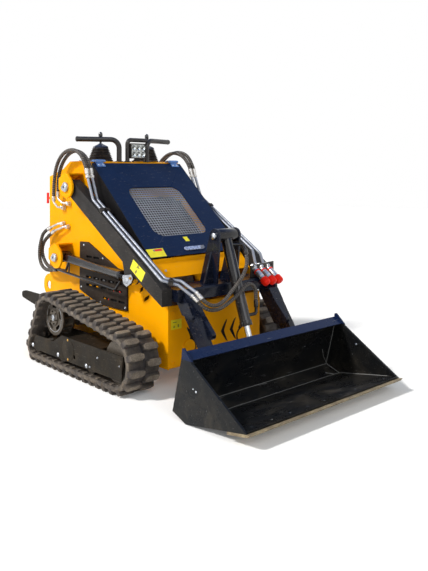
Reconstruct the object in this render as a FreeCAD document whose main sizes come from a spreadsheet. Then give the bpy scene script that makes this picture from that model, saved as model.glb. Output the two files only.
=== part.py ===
"""Mini track loader: a stand-on compact loader on rubber tracks, with lift arms and a bucket.

Frame: +Z up, forward is -Y, the operator's right-hand side is -X, ground at Z = 0.
Right-hand pieces are modelled first and the left-hand ones are mirrored from them.
"""
import FreeCAD, Part
import math
import os
from FreeCAD import Placement, Rotation, Vector
import Sketcher

DOC = FreeCAD.newDocument("TrackLoader")
SHEET = DOC.addObject("Spreadsheet::Sheet", "Sizes")
PIECES = []
AXES = {"x": Vector(1, 0, 0), "y": Vector(0, 1, 0), "z": Vector(0, 0, 1)}
SMALL = 1e-6


# ---------------------------------------------------------------- sizes
class Size:
    """A length with its number and the text of the expression that gives it."""

    def __init__(self, number, words):
        self.number = float(number)
        self.words = words

    def __add__(self, other):
        return Size(self.number + num(other), f"({self.words} + {text(other)})")

    def __sub__(self, other):
        return Size(self.number - num(other), f"({self.words} - {text(other)})")

    def __mul__(self, other):
        return Size(self.number * num(other), f"({self.words} * {text(other)})")

    def __truediv__(self, other):
        return Size(self.number / num(other), f"({self.words} / {text(other)})")

    def __neg__(self):
        return Size(-self.number, f"(0 - {self.words})")

    def __rsub__(self, other):
        return Size(num(other) - self.number, f"({text(other)} - {self.words})")

    __radd__ = __add__
    __rmul__ = __mul__


def num(value):
    return value.number if isinstance(value, Size) else float(value)


def text(value):
    return value.words if isinstance(value, Size) else f"({float(value)!r})"


def size(alias, number):
    """Keep a driving size in the sheet under its alias."""
    row = size.row = size.row + 1
    SHEET.set(f"A{row}", alias)
    SHEET.set(f"B{row}", str(number))
    SHEET.setAlias(f"B{row}", alias)
    return Size(number, f"Sizes.{alias}")


size.row = 0

# Body
body_half = size("body_half_width", 314)
plate = size("side_plate_thickness", 6)
sheet_wall = size("panel_thickness", 5)
body_rear = size("body_rear_y", 752)
body_front = size("body_front_y", -390)
body_floor = size("body_floor_z", 102)
seat = size("seat_clearance", 0.3)
running = size("running_clearance", 0.06)

# Tracks
track_gap = size("track_gap_beside_body", 52)
track_inner = body_half + track_gap
track_width = size("track_width", 180)
lug_pitch = size("track_pitch", 60)
track_links = 37
carcass = size("carcass_thickness", 24)
lug_height = size("lug_height", 20)
lug_length = size("lug_length", 34)
cord_depth = size("cord_line_depth", 6.5)
guide_width = size("guide_lug_width", 44)
guide_height = size("guide_lug_height", 22)
guide_length = size("guide_lug_length", 32)
sprocket_teeth = 11
sprocket_y = size("sprocket_y", 376)
sprocket_z = size("sprocket_z", 257)
idler_radius = size("idler_wrap_radius", 106)
roller_radius = size("roller_radius", 38)
roller_rear_y = size("rear_roller_y", 525)
roller_pitch = size("roller_pitch", 276)

frame_gap = size("frame_plate_gap", 152)
frame_plate = size("frame_plate_thickness", 8)

# Lift arms
pivot_y = size("arm_pivot_y", 382)
pivot_z = size("arm_pivot_z", 963)
pivot_pin = size("arm_pivot_pin_radius", 18)
arm_gap = size("arm_gap_beside_body", 21)
arm_inner = body_half + arm_gap
arm_width = size("arm_width", 60)
ear_gap = size("ear_side_clearance", 10)
ear_plate = size("ear_plate_thickness", 12)
beam_front = size("beam_front_y", -490)
beam_rear = size("beam_rear_y", -345)
beam_low = size("beam_low_z", 440)
beam_top = size("beam_top_z", 497)

# Lift cylinders
base_y = size("cylinder_base_y", 498)
base_z = size("cylinder_base_z", 565)
rod_y = size("cylinder_rod_pin_y", -172)
rod_z = size("cylinder_rod_pin_z", 514)
lift_bore = size("lift_barrel_radius", 25)
rod_radius = size("rod_radius", 15)
eye_pin = size("cylinder_pin_radius", 14)

# Tilt linkage
tower_y = size("tilt_barrel_pin_y", -455)
tower_z = size("tilt_barrel_pin_z", 730)
lever_y = size("tilt_rod_pin_y", -650)
lever_z = size("tilt_rod_pin_z", 165)
bucket_y = size("bucket_pivot_y", -600)
bucket_z = size("bucket_pivot_z", 62)
tilt_bore = size("tilt_barrel_radius", 27.5)
tower_inner = size("tower_inner_x", 62)
tower_plate = size("tower_plate_thickness", 12)
leg_outer = arm_inner - 35
leg_plate = size("leg_plate_thickness", 36)

# Bucket
bucket_half = size("bucket_half_width", 519)
bucket_side = size("bucket_side_thickness", 10)
bucket_wall = size("bucket_wall_thickness", 8)
attach_half = size("attach_half_width", 250)
attach_plate = size("attach_plate_thickness", 12)

# Hood
hood_half = body_half - 1
hood_wall = size("hood_thickness", 4)
hood_top_y = size("hood_top_y", 285)
hood_top_z = size("hood_top_z", 1095)
hood_low_y = size("hood_low_y", -247)
hood_low_z = size("hood_low_z", 621)
hinge_y = hood_top_y + 5
hinge_z = hood_top_z + 11

# Platform
step_half = size("platform_half_width", 300)
step_wall = size("platform_side_thickness", 8)
step_hinge_y = size("platform_hinge_y", 784)
step_hinge_z = size("platform_hinge_z", 268)
step_top = size("platform_top_z", 288)
step_rear = size("platform_rear_y", 1140)

# Controls
deck_z = size("deck_z", 1108)
grip_radius = size("handle_tube_radius", 14)
grip_height = size("handle_height_over_deck", 124)
grip_z = deck_z + grip_height


# ---------------------------------------------------------------- drawing
def bind(thing, prop, value):
    thing.setExpression(prop, text(value))


def draw(sketch, loop):
    """Draw a closed loop: (u, v) is a corner, (u, v, r) a round that the loop goes around.

    Loops run counter-clockwise, and a negative r is a round that bends the other way.
    A loop of one round is a circle.
    """
    limits = []

    def hold(kind, *where, value):
        limits.append((Sketcher.Constraint(kind, *where, num(value)), value))

    if len(loop) == 1:
        u, v, r = loop[0]
        circle = Part.Circle(Vector(num(u), num(v), 0), AXES["z"], num(r))
        index = sketch.addGeometry(circle, False)
        hold("DistanceX", -1, 1, index, 3, value=u)
        hold("DistanceY", -1, 1, index, 3, value=v)
        hold("Radius", index, value=r)
    else:
        draw_chain(sketch, loop, limits, hold)
    for limit, value in limits:
        index = sketch.addConstraint(limit)
        if isinstance(value, Size):
            sketch.setExpression(f"Constraints[{index}]", value.words)


def draw_chain(sketch, loop, limits, hold):
    count = len(loop)
    centres = [Vector(num(n[0]), num(n[1]), 0) for n in loop]
    radii = [num(n[2]) if len(n) == 3 else 0.0 for n in loop]
    normals = [tangent_normal(centres[i], radii[i], centres[(i + 1) % count], radii[(i + 1) % count])
               for i in range(count)]
    first = sketch.GeometryCount
    for i in range(count):
        j = (i + 1) % count
        start = centres[i] + normals[i] * radii[i]
        end = centres[j] + normals[i] * radii[j]
        sketch.addGeometry(Part.LineSegment(start, end), False)
    for i in range(count):
        before = first + (i - 1) % count
        after = first + i
        if radii[i] == 0.0:
            limits.append((Sketcher.Constraint("Coincident", before, 2, after, 1), None))
            hold("DistanceX", -1, 1, after, 1, value=loop[i][0])
            hold("DistanceY", -1, 1, after, 1, value=loop[i][1])
            continue
        sign = math.copysign(1.0, radii[i])
        ends = [normals[i - 1] * sign, normals[i] * sign]
        if sign < 0:
            ends.reverse()
        angles = [math.atan2(end.y, end.x) for end in ends]
        round_circle = Part.Circle(centres[i], AXES["z"], abs(radii[i]))
        arc = sketch.addGeometry(Part.ArcOfCircle(round_circle, angles[0], angles[1]), False)
        first_end, last_end = (1, 2) if sign > 0 else (2, 1)
        limits.append((Sketcher.Constraint("Tangent", before, 2, arc, first_end), None))
        limits.append((Sketcher.Constraint("Tangent", arc, last_end, after, 1), None))
        hold("DistanceX", -1, 1, arc, 3, value=loop[i][0])
        hold("DistanceY", -1, 1, arc, 3, value=loop[i][1])
        hold("Radius", arc, value=loop[i][2] if sign > 0 else -loop[i][2])


def tangent_normal(start, start_radius, end, end_radius):
    """Give the outward normal of the line that touches two rounds of a loop."""
    along = end - start
    reach = along.Length
    along = along / reach
    right = Vector(along.y, -along.x, 0)
    sine = (start_radius - end_radius) / reach
    return right * math.sqrt(1 - sine * sine) + along * sine


def sketch_on(body, role, start, loops):
    """Sketch loops on one of the body's own planes, shifted along its normal."""
    sketch = body.newObject("Sketcher::SketchObject", body.Name + "Outline")
    plane = next(f for f in body.Origin.OriginFeatures if f.Role == role)
    sketch.AttachmentSupport = [(plane, "")]
    sketch.MapMode = "FlatFace"
    bind(sketch, "AttachmentOffset.Base.z", start)
    for loop in loops:
        draw(sketch, loop)
    return sketch


def prism(label, role, start, length, *loops):
    """Pad the first loop, with the others as holes: YZ_Plane pads along +X, XZ_Plane along -Y."""
    body = DOC.addObject("PartDesign::Body", "Body_" + label)
    sketch = sketch_on(body, role, start, loops)
    pad = body.newObject("PartDesign::Pad", body.Name + "Pad")
    pad.Profile = sketch
    bind(pad, "Length", length)
    body.Tip = pad
    body.Label = label + "_body"
    return body


def side(label, inner, thickness, *loops):
    """Pad loops in the YZ plane into a right-hand plate between two distances from the middle."""
    return prism(label, "YZ_Plane", -(inner + thickness), thickness, *loops)


def across(label, half, *loops):
    """Pad loops in the YZ plane over the whole width between -half and +half."""
    return prism(label, "YZ_Plane", -half, half * 2, *loops)


def turned(label, profile, centre, lengthwise=True):
    """Revolve a (position, radius) profile about the X axis, or about Z where not lengthwise."""
    body = DOC.addObject("PartDesign::Body", "Body_" + label)
    points = profile if lengthwise else [(r, at) for at, r in profile]
    sketch = sketch_on(body, "XZ_Plane", 0, [points])
    spin = body.newObject("PartDesign::Revolution", body.Name + "Turn")
    spin.Profile = sketch
    spin.ReferenceAxis = (sketch, ["H_Axis" if lengthwise else "V_Axis"])
    spin.Angle = 360
    body.Tip = spin
    body.Label = label + "_body"
    place(body, centre)
    return body


def place(thing, point):
    for axis, value in zip("xyz", point):
        bind(thing, f"Placement.Base.{axis}", value)


def rod(label, radius, length, start, axis="x"):
    """Make a cylinder from its start point along +X, +Y or +Z."""
    solid = DOC.addObject("Part::Cylinder", label)
    bind(solid, "Radius", radius)
    bind(solid, "Height", length)
    solid.Placement = Placement(Vector(), Rotation(AXES["z"], AXES[axis]))
    place(solid, start)
    return solid


def block(label, corner, lengths):
    solid = DOC.addObject("Part::Box", label)
    for prop, value in zip(("Length", "Width", "Height"), lengths):
        bind(solid, prop, value)
    place(solid, corner)
    return solid


def fuse(label, *solids):
    joined = DOC.addObject("Part::MultiFuse", label)
    joined.Shapes = list(solids)
    joined.Refine = True
    return joined


def cut(label, base, tool):
    carved = DOC.addObject("Part::Cut", label)
    carved.Base = base
    carved.Tool = tool
    return carved


def mirror(label, source):
    """Mirror a right-hand piece to the left-hand side."""
    other = DOC.addObject("Part::Mirroring", label)
    other.Source = source
    other.Normal = (1, 0, 0)
    other.Base = (0, 0, 0)
    return other


def both(label, source):
    """Give the right-hand piece and its mirror image as one node of separate solids."""
    return fuse(label, source, mirror(label + "_left", source))


def keep(label, thing):
    """Register a finished sub-part under the name of its node."""
    thing.Label = label
    PIECES.append(thing)
    return thing


def keep_pair(label, thing):
    keep(label + "_right", thing)
    keep(label + "_left", mirror(label + "_mirror", thing))


def shaped(label, shape):
    thing = DOC.addObject("Part::Feature", label)
    thing.Shape = shape
    return thing


def strip(points, thickness):
    """Outline a bent sheet whose one face follows the points, with the sheet on their left."""
    flat = [Vector(num(u), num(v), 0) for u, v in points]
    runs = [(b - a) / (b - a).Length for a, b in zip(flat, flat[1:])]
    lefts = [Vector(-r.y, r.x, 0) for r in runs]
    far = []
    for i, point in enumerate(flat):
        before = lefts[max(i - 1, 0)]
        after = lefts[min(i, len(lefts) - 1)]
        half = before + after
        far.append(point + half * (num(thickness) * 2 / half.Length ** 2))
    return list(points) + [(p.x, p.y) for p in reversed(far)]


def tube(label, radius, route, bend=None):
    """Run a round tube along straight runs joined by tangent arcs.

    Without a bend radius each arc is as large as its two runs allow.
    """
    points = [Vector(*(num(c) for c in p)) for p in route]
    edges = []
    last = points[0]
    radii = []
    for before, corner, after in zip(points, points[1:], points[2:]):
        arrive = (corner - before).normalize()
        leave = (after - corner).normalize()
        turn = arrive.getAngle(leave)
        shorter = min((corner - before).Length, (after - corner).Length)
        setback = 0.45 * shorter if bend is None else num(bend) * math.tan(turn / 2)
        arc_radius = setback / math.tan(turn / 2)
        radii.append(arc_radius)
        start = corner - arrive * setback
        end = corner + leave * setback
        inward = (leave - arrive).normalize()
        middle = corner + inward * (arc_radius / math.cos(turn / 2) - arc_radius)
        edges.append(Part.LineSegment(last, start).toShape())
        edges.append(Part.Arc(start, middle, end).toShape())
        last = end
    edges.append(Part.LineSegment(last, points[-1]).toShape())
    spine = Part.Wire(edges)
    ring = Part.Wire(Part.makeCircle(num(radius), points[0], points[1] - points[0]))
    sweep = Part.BRepOffsetAPI.MakePipeShell(spine)
    sweep.setFrenetMode(True)
    sweep.add(ring, False, False)
    sweep.build()
    sweep.makeSolid()
    shape = sweep.shape()
    expected = math.pi * num(radius) ** 2 * spine.Length
    tightest = min(radii) if radii else 0.0
    print(f"{label}: length {spine.Length:.0f}, tightest arc {tightest:.0f}, "
          f"volume ratio {shape.Volume / expected:.3f}")
    return shaped(label, shape)


# ---------------------------------------------------------------- tracks
class Belt:
    """The closed line of a track around its wheels, measured along its cord line."""

    def __init__(self, wheels, depth):
        self.wheels = wheels
        self.depth = depth
        count = len(wheels)
        self.runs = []
        normals = []
        for i in range(count):
            y0, z0, r0 = wheels[i]
            y1, z1, r1 = wheels[(i + 1) % count]
            normals.append(tangent_normal(Vector(y0, z0, 0), r0, Vector(y1, z1, 0), r1))
        for i in range(count):
            y, z, r = wheels[i]
            turn = normals[i - 1].getAngle(normals[i])
            self.runs.append(("arc", (r + depth) * turn, Vector(y, z, 0), normals[i - 1], r))
            y1, z1, r1 = wheels[(i + 1) % count]
            start = Vector(y, z, 0) + normals[i] * r
            end = Vector(y1, z1, 0) + normals[i] * r1
            self.runs.append(("line", (end - start).Length, start, normals[i], end))
        self.length = sum(run[1] for run in self.runs)

    def at(self, distance):
        """Give the point on the inner face and the outward normal at a distance along the cord line."""
        distance = distance % self.length
        for kind, length, origin, normal, extra in self.runs:
            if distance <= length + SMALL:
                break
            distance -= length
        if kind == "line":
            return origin + (extra - origin) * (distance / length), normal
        angle = distance / (extra + self.depth)
        turned_normal = Vector(normal.x * math.cos(angle) - normal.y * math.sin(angle),
                               normal.x * math.sin(angle) + normal.y * math.cos(angle), 0)
        return origin + turned_normal * extra, turned_normal

    def surface(self, distance, offset, shift=0.0):
        """Give a point at an offset from the inner face, shifted along the tangent."""
        point, normal = self.at(distance)
        along = Vector(-normal.y, normal.x, 0)
        return point + normal * offset + along * shift


def track_wheels(idler_y):
    """List the rounds that the track's inner face wraps, from the front idler along the ground."""
    tread = num(carcass) + num(lug_height)
    wrap = sprocket_teeth * num(lug_pitch) / (2 * math.pi) - num(cord_depth)
    return [(idler_y, tread + num(idler_radius), num(idler_radius)),
            (num(roller_rear_y), tread + num(roller_radius) + num(seat), num(roller_radius) + num(seat)),
            (num(sprocket_y), num(sprocket_z), wrap)]


def tensioned_belt():
    """Slide the front idler until the cord line is a whole number of pitches long."""
    wanted = track_links * num(lug_pitch)
    near, far = -50.0, -900.0
    for _ in range(60):
        middle = (near + far) / 2
        if Belt(track_wheels(middle), num(cord_depth)).length < wanted:
            near = middle
        else:
            far = middle
    return middle, Belt(track_wheels(middle), num(cord_depth))


idler_y, belt = tensioned_belt()
idler_z = carcass + lug_height + idler_radius
roller_z = carcass + lug_height + roller_radius + seat
track_middle = track_inner + track_width / 2


def toothed(phase, root, tip, base_length, tip_length, shifts=()):
    """Outline a row of lugs that stand from the root to the tip offset, with root corners at the shifts."""
    points = []
    pitch = num(lug_pitch)
    for link in range(track_links):
        centre = (link + phase) * pitch
        points.append(belt.surface(centre - base_length / 2, root))
        points.append(belt.surface(centre, tip, -tip_length / 2))
        points.append(belt.surface(centre, tip, tip_length / 2))
        points.append(belt.surface(centre + base_length / 2, root))
        points += [belt.surface(centre + shift, root) for shift in shifts]
    return points


def smooth(offset, shifts):
    """Outline the belt at an offset, with corners at the given shifts from each lug's centre."""
    points = []
    for link in range(track_links):
        for shift in shifts:
            points.append(belt.surface(link * num(lug_pitch) + shift, offset))
    return points


def band(outer, inner, start, width):
    """Extrude the space between two outlines along X."""
    def wire(points):
        placed = [Vector(start, p.x, p.y) for p in points]
        return Part.makePolygon(placed + [placed[0]])
    ring = Part.makeFace([wire(outer), wire(inner)], "Part::FaceMakerBullseye")
    return ring.extrude(Vector(width, 0, 0))


def make_track():
    """Rubber track: a carcass with two staggered rows of lugs and one row of guide lugs inside."""
    thick = num(carcass)
    reach = thick + num(lug_height)
    taper = 6.0
    guide_tip = num(guide_length) - 16.0
    near_row = toothed(0.0, thick, reach, num(lug_length), num(lug_length) - taper)
    far_row = toothed(0.5, thick, reach, num(lug_length), num(lug_length) - taper)
    valley = (num(lug_pitch) - num(lug_length)) / 2
    foot = num(lug_length) / 2
    groove_row = smooth(thick, (-foot, -valley, valley, foot))
    between = (23, 30, 37)
    root = num(guide_length) / 2
    plain = smooth(0.0, (-root, -root / 2, 0, root / 2, root) + between)
    guides = toothed(0.0, 0.0, -num(guide_height), num(guide_length), guide_tip, between)
    groove = 8.0
    middle = -num(track_middle)
    half = num(track_width) / 2
    guide = num(guide_width) / 2
    zones = [(-half, -guide, near_row, plain), (-guide, -groove / 2, near_row, guides),
             (-groove / 2, groove / 2, groove_row, guides), (groove / 2, guide, far_row, guides),
             (guide, half, far_row, plain)]
    bands = [band(outer, inner, middle + a, b - a) for a, b, outer, inner in zones]
    shape = bands[0].multiFuse(bands[1:]).removeSplitter()
    keep_pair("track", shaped("track", shape))


def make_sprocket():
    """Drive sprocket: two discs on the motor hub, with bars between them that drive the guide lugs."""
    wrap = track_wheels(idler_y)[2][2]
    disc_radius = sprocket_teeth * lug_pitch / (2 * math.pi) - cord_depth - 2.5
    disc_gap = size("sprocket_disc_gap", 26)
    disc = size("sprocket_disc_thickness", 10)
    bar_circle = wrap - 14.5
    first = next(link for link in range(track_links)
                 if (belt.surface(link * num(lug_pitch), 0) - Vector(num(sprocket_y), num(sprocket_z), 0)).Length
                 < wrap + 0.5)
    normal = belt.at(first * num(lug_pitch))[1]
    start_angle = math.atan2(normal.y, normal.x) + math.pi / sprocket_teeth
    spots = []
    for tooth in range(sprocket_teeth):
        angle = start_angle + tooth * 2 * math.pi / sprocket_teeth
        spots.append((sprocket_y + bar_circle * math.cos(angle), sprocket_z + bar_circle * math.sin(angle)))
    windows = []
    for hole in range(5):
        angle = math.pi / 2 + hole * 2 * math.pi / 5
        windows.append([(sprocket_y + 62 * math.cos(angle + s), sprocket_z + 62 * math.sin(angle + s), 9)
                        for s in (-0.22, 0.22)])
    ring = [(sprocket_y, sprocket_z, disc_radius)]
    outer = side("sprocket_outer", track_middle + disc_gap, disc, ring, *windows)
    inner = side("sprocket_inner", track_middle - disc_gap - disc, disc, ring)
    bars = [rod("sprocket_bar", 8, disc_gap * 2 + disc, (-(track_middle + disc_gap + disc / 2), y, z))
            for y, z in spots]
    hub_end = track_middle + disc_gap + disc + 6
    hub = rod("sprocket_hub", 42, hub_end - body_half - 40, (-hub_end, sprocket_y, sprocket_z))
    motor = rod("sprocket_motor", 62, 40, (-(body_half + 40), sprocket_y, sprocket_z))
    keep("sprockets", both("sprockets", fuse("sprocket", outer, inner, hub, motor, *bars)))


def axle_spool(label, rim_out, rim, dish, hub, axle, y, z):
    """Turn a wheel with two rims either side of the guide lugs and an axle between the frame plates."""
    rim_in = guide_width / 2 + 4
    reach = frame_gap / 2
    profile = [(-reach, 0), (reach, 0), (reach, axle), (rim_out, axle), (rim_out, rim), (rim_in, rim),
               (dish, hub), (-dish, hub), (-rim_in, rim), (-rim_out, rim), (-rim_out, axle), (-reach, axle)]
    return turned(label, profile, (-track_middle, y, z))


def roller_spots():
    return [roller_rear_y - roller_pitch * index for index in range(3)]


def make_wheels():
    """Front idler that tensions the track, and three road rollers on its lower run."""
    idler = axle_spool("front_idler", 58, idler_radius - 2.5, 23, 70, 16, idler_y, idler_z)
    keep("front_idlers", both("front_idlers", idler))
    row = fuse("roller_row", *[axle_spool("roller", 56, roller_radius, 23, 10, 9, y, roller_z)
                               for y in roller_spots()])
    keep("rollers", both("rollers", row))


def make_track_frame():
    """Track frame: outer and inner plates joined by a box beam that is bolted to the body."""
    outer_in = track_middle + frame_gap / 2
    outline = [(-328, 78), (505, 70), (516, 118), (495, 150), (300, 150), (215, 196), (-342, 196)]
    slot = [(85, 108, 9), (128, 165, 9)]
    outer = side("frame_outer", outer_in, frame_plate, outline, slot)
    inner = side("frame_inner", track_middle - frame_gap / 2 - frame_plate, frame_plate,
                 [(-90, 68), (548, 72), (550, 100), (480, 180), (-300, 180), (-300, 120), (-90, 120)])
    beam = block("frame_beam", (-outer_in, -90, 128), (outer_in - body_half, 320, 50))
    tail = block("frame_tail", (-outer_in, 400, 84), (outer_in - body_half, 75, 40))
    keep_pair("track_frame", fuse("track_frame", outer, inner, beam, tail))


# ---------------------------------------------------------------- body
def ear(label, y, z, lobe, tail_y, tail_z):
    """Bent bracket around a pin: an outer plate with a lobe, and a rim that turns in to the side plate."""
    inner = arm_inner + arm_width + ear_gap
    wall = 8
    face = side(label + "_face", inner, ear_plate,
                [(y, z, lobe), (tail_y, tail_z - 60), (tail_y, tail_z), (y + 20, z + lobe + 14),
                 (y - 8, z + lobe + 14)], [(y, z, eye_hole(label))])
    rim_line = [(y - 8, z + lobe + 14), (y + 20, z + lobe + 14), (tail_y, tail_z), (tail_y, tail_z - 60)]
    rim = side(label + "_rim", body_half, inner + ear_plate - body_half, strip(rim_line[::-1], wall))
    return fuse(label, face, rim)


def eye_hole(label):
    return (pivot_pin if label == "arm_ear" else eye_pin) + running


def make_side_plates():
    """Side plates with the pivot ears for the arm and its cylinder, and a towing eye at the rear."""
    slope = (598 - 938) / (-250 - 297)
    outline = [(body_front, body_floor), (700, body_floor), (body_rear, 200), (body_rear, 1018), (594, 1062),
               (515, deck_z - 2), (385, deck_z), (297, 938), (-250, 598), (-318, 525), (-325, 470),
               (-340, 425), (body_front, 405)]
    slots = [[(y, 938 - 115 + slope * (y - 297), 5), (y - 26, 938 - 115 - 20 + slope * (y - 297 - 14), 5)]
             for y in (60, 10, -40)]
    low_slots = [[(-190, 457), (-159, 437), (-165, 464), (-193, 481)],
                 [(-237, 421), (-193, 398), (-204, 423), (-242, 442)]]
    pins = [[(pivot_y, pivot_z, pivot_pin + running)], [(base_y, base_z, eye_pin + running)]]
    main = side("side_plate", body_half - plate, plate, outline, *slots, *low_slots, *pins)
    lobe = side("tow_eye", body_half - plate, plate, [(700, 290), (757, 367, 66), (700, 444)])
    upper = ear("arm_ear", pivot_y, pivot_z, 62, 462, 1010)
    lower = ear("cylinder_ear", base_y, base_z, 62, 578, 610)
    eye = rod("tow_eye_hole", 24, plate + 2, (-(body_half + 1), 757, 367))
    keep_pair("side_plate", cut("side_plate", fuse("side_plate_body", main, lobe, upper, lower), eye))


def make_panels():
    """Panels between the side plates: floor, front, nose, rear and the control deck."""
    inside = body_half - plate
    keep("belly_pan", across("belly_pan", inside, strip([(body_front + 8, body_floor), (700, body_floor)], 6)))
    front = [(-inside, body_floor + 6), (inside, body_floor + 6), (inside, 405), (-inside, 405)]
    chevrons = []
    for tip in (30, 92, 154):
        for sign in (-1, 1):
            points = [(tip, 233), (tip + 34, 286), (tip + 46, 286), (tip + 16, 233), (tip + 46, 180),
                      (tip + 34, 180)]
            chevrons.append([(sign * x, z) for x, z in points])
    keep("front_panel", prism("front_panel", "XZ_Plane", -(body_front + 6), 6, front, *chevrons))
    nose = strip([(-252, 595.5), (-316, 526.7)], 4)
    keep("nose_panel", across("nose_panel", inside, nose))
    deck_line = [(body_rear, 1018), (594, 1062), (515, deck_z - 2), (385, deck_z), (298, 1101), (298, 1076)]
    keep("control_deck", across("control_deck", inside, strip(deck_line, sheet_wall)))


def make_rear_panel():
    """Rear panel with the hinge lugs and pins of the folding platform."""
    inside = body_half - plate
    wall = [(body_rear - 6, 200), (body_rear, 200), (body_rear, 1011), (body_rear - 6, 1011)]
    panel = across("rear_wall", inside, wall)
    lug_outer = step_half - step_wall - 2
    lug = side("hinge_lug", lug_outer - 10, 10,
               [(body_rear - 3, 225), (body_rear + 2, 225), (step_hinge_y, step_hinge_z, 18),
                (body_rear + 2, 300), (body_rear - 3, 300)])
    pin = rod("hinge_pin", 10, step_wall + 6, (-(step_half + 4), step_hinge_y, step_hinge_z))
    one = fuse("hinge_side", lug, pin)
    keep("rear_panel", fuse("rear_panel", panel, one, mirror("hinge_other", one)))


def make_engine():
    """Engine and pump, one plain block on the belly pan."""
    keep("engine_block", block("engine_block", (-190, -110, body_floor + 6), (380, 470, 470)))


def make_grilles():
    """Slotted covers on the side plates above the tracks."""
    outline = [(-64, 335), (191, 332), (395, 388), (392, 656), (311, 659), (30, 545), (-64, 534)]
    slots = []
    for z, first, count in ((578, 318, 2), (522, 318, 4), (467, 318, 5), (425, 318, 5), (372, 150, 3)):
        for index in range(count):
            y = first - index * 72
            slots.append([(y - 44, z, 7), (y, z, 7)])
    cover = side("grille", body_half, 10, outline, *slots)
    keep("grilles", both("grilles", cover))


def make_handles():
    """Steering handles: bent tubes on the deck, with a guard for the work lamp beside the left one."""
    foot = deck_z - 2.7
    route = [(-98, 335, foot), (-98, 335, grip_z), (-150, 358, grip_z), (-334, 460, grip_z)]
    right = tube("handle", grip_radius, route, 24)
    keep("handle_right", right)
    guard = tube("lamp_guard", grip_radius, [(-51, 320, foot - 1.1), (-51, 320, grip_z), (98, 335, grip_z)], 24)
    keep("handle_left", fuse("handle_left", mirror("handle_mirror", right), guard))


def make_joysticks():
    """Joysticks: ribbed bellows with a stick and a knob."""
    profile = [(0, 0), (0, 70), (12, 70)]
    for index in range(5):
        low = 16 + index * 14
        rim = 66 - index * 4.5
        profile += [(low, rim - 7), (low + 7, rim)]
    profile += [(88, 43), (96, 30), (96, 7), (158, 7), (160, 11), (178, 11), (180, 0)]
    stick = turned("joystick", profile[::-1], (-166, 425, deck_z), lengthwise=False)
    keep("joysticks", both("joysticks", stick))


def make_lamp():
    """Square work lamp on its bracket."""
    case = prism("lamp_case", "XZ_Plane", -345, 46,
                 [(-36, deck_z + 20), (72, deck_z + 20), (72, deck_z + 90), (-36, deck_z + 90)])
    foot = block("lamp_foot", (8, 312, deck_z - 3.6), (20, 24, 25))
    keep("work_lamp", fuse("work_lamp", case, foot))


def make_isolator():
    """Battery isolator key on the rear panel."""
    stem = rod("key_stem", 7, 24, (-296, body_rear, 887), "y")
    bar = rod("key_bar", 7, 66, (-296, body_rear + 26, 854), "z")
    keep("isolator_key", fuse("isolator_key", stem, bar))


def make_body_pins():
    """Pins that carry the arms and the lift cylinders in their ears."""
    outer = arm_inner + arm_width + ear_gap + ear_plate
    pins = []
    for label, radius, y, z in (("arm", pivot_pin, pivot_y, pivot_z), ("base", eye_pin, base_y, base_z)):
        shank = rod(label + "_pin", radius, outer + 1 - (body_half - plate), (-(outer + 1), y, z))
        cap = rod(label + "_pin_head", radius + 9, 10, (-(outer + 10), y, z))
        pins.append(fuse(label + "_bolt", shank, cap))
    keep("body_pins", both("body_pins", fuse("body_pin_set", *pins)))


# ---------------------------------------------------------------- lift arms
def make_arms():
    """Lift arms: box tubes with a pivot bore at the rear and lugs for the cylinder rod below."""
    tube_wall = side("arm_tube", arm_inner, arm_width,
                     [(-446, 420), (-287, 504), (-186, 564), (pivot_y, pivot_z, 42), (-107, 723),
                      (-423, 513), (-446, 497)],
                     [(pivot_y, pivot_z, pivot_pin + running)])
    lugs = []
    lug_plate = 8
    for index, near in enumerate((arm_inner + 5, arm_inner + arm_width - 5 - lug_plate)):
        lugs.append(side(f"rod_lug{index}", near, lug_plate,
                         [(-236, 560), (rod_y, rod_z, 27), (-110, 632)],
                         [(rod_y, rod_z, eye_pin + running)]))
    keep_pair("arm", fuse("arm", tube_wall, *lugs))


def make_boom_head():
    """Cross beam, legs and tilt tower that join the two arms in front of the body."""
    beam = across("cross_beam", arm_inner, [(beam_front, beam_low), (beam_rear, beam_low),
                                            (beam_rear, beam_top), (-483, beam_top), (beam_front, 488)])
    keep("cross_beam", beam)
    leg_inner = leg_outer - leg_plate
    leg = side("leg_plate", leg_inner, leg_plate,
               [(-446, beam_low), (beam_front, beam_low), (beam_front, 486), (-528, 448), (-570, 388),
                (-672, 235), (bucket_y, bucket_z, 32), (-603, 223), (-488, 379)],
               [(bucket_y, bucket_z, eye_pin + running)])
    box_part = side("leg_box", leg_inner - 24, 24,
                    [(-446, beam_low), (beam_front, beam_low), (beam_front, 486), (-528, 448),
                     (-570, 388), (-628, 300, 20), (-575, 290, 20), (-488, 379)])
    rib = side("leg_rib", leg_outer, 10,
               [(-446, beam_low), (beam_front, beam_low), (beam_front, 470), (-528, 440),
                (-548, 380, 16), (-488, 379)])
    keep("boom_legs", both("boom_legs", fuse("leg", leg, box_part, rib)))
    tower = side("tower_plate", tower_inner, tower_plate,
                 [(-470, beam_top), (beam_rear, beam_top), (tower_y, tower_z, 36)],
                 [(tower_y, tower_z, eye_pin + running)])
    foot = tower_inner + tower_plate
    gusset = prism("tower_gusset", "XZ_Plane", 424, 12,
                   [(-(foot + 50), beam_top), (-foot, beam_top), (-foot, 650)])
    keep("tilt_tower", both("tilt_tower", fuse("tower", tower, gusset)))


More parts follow.
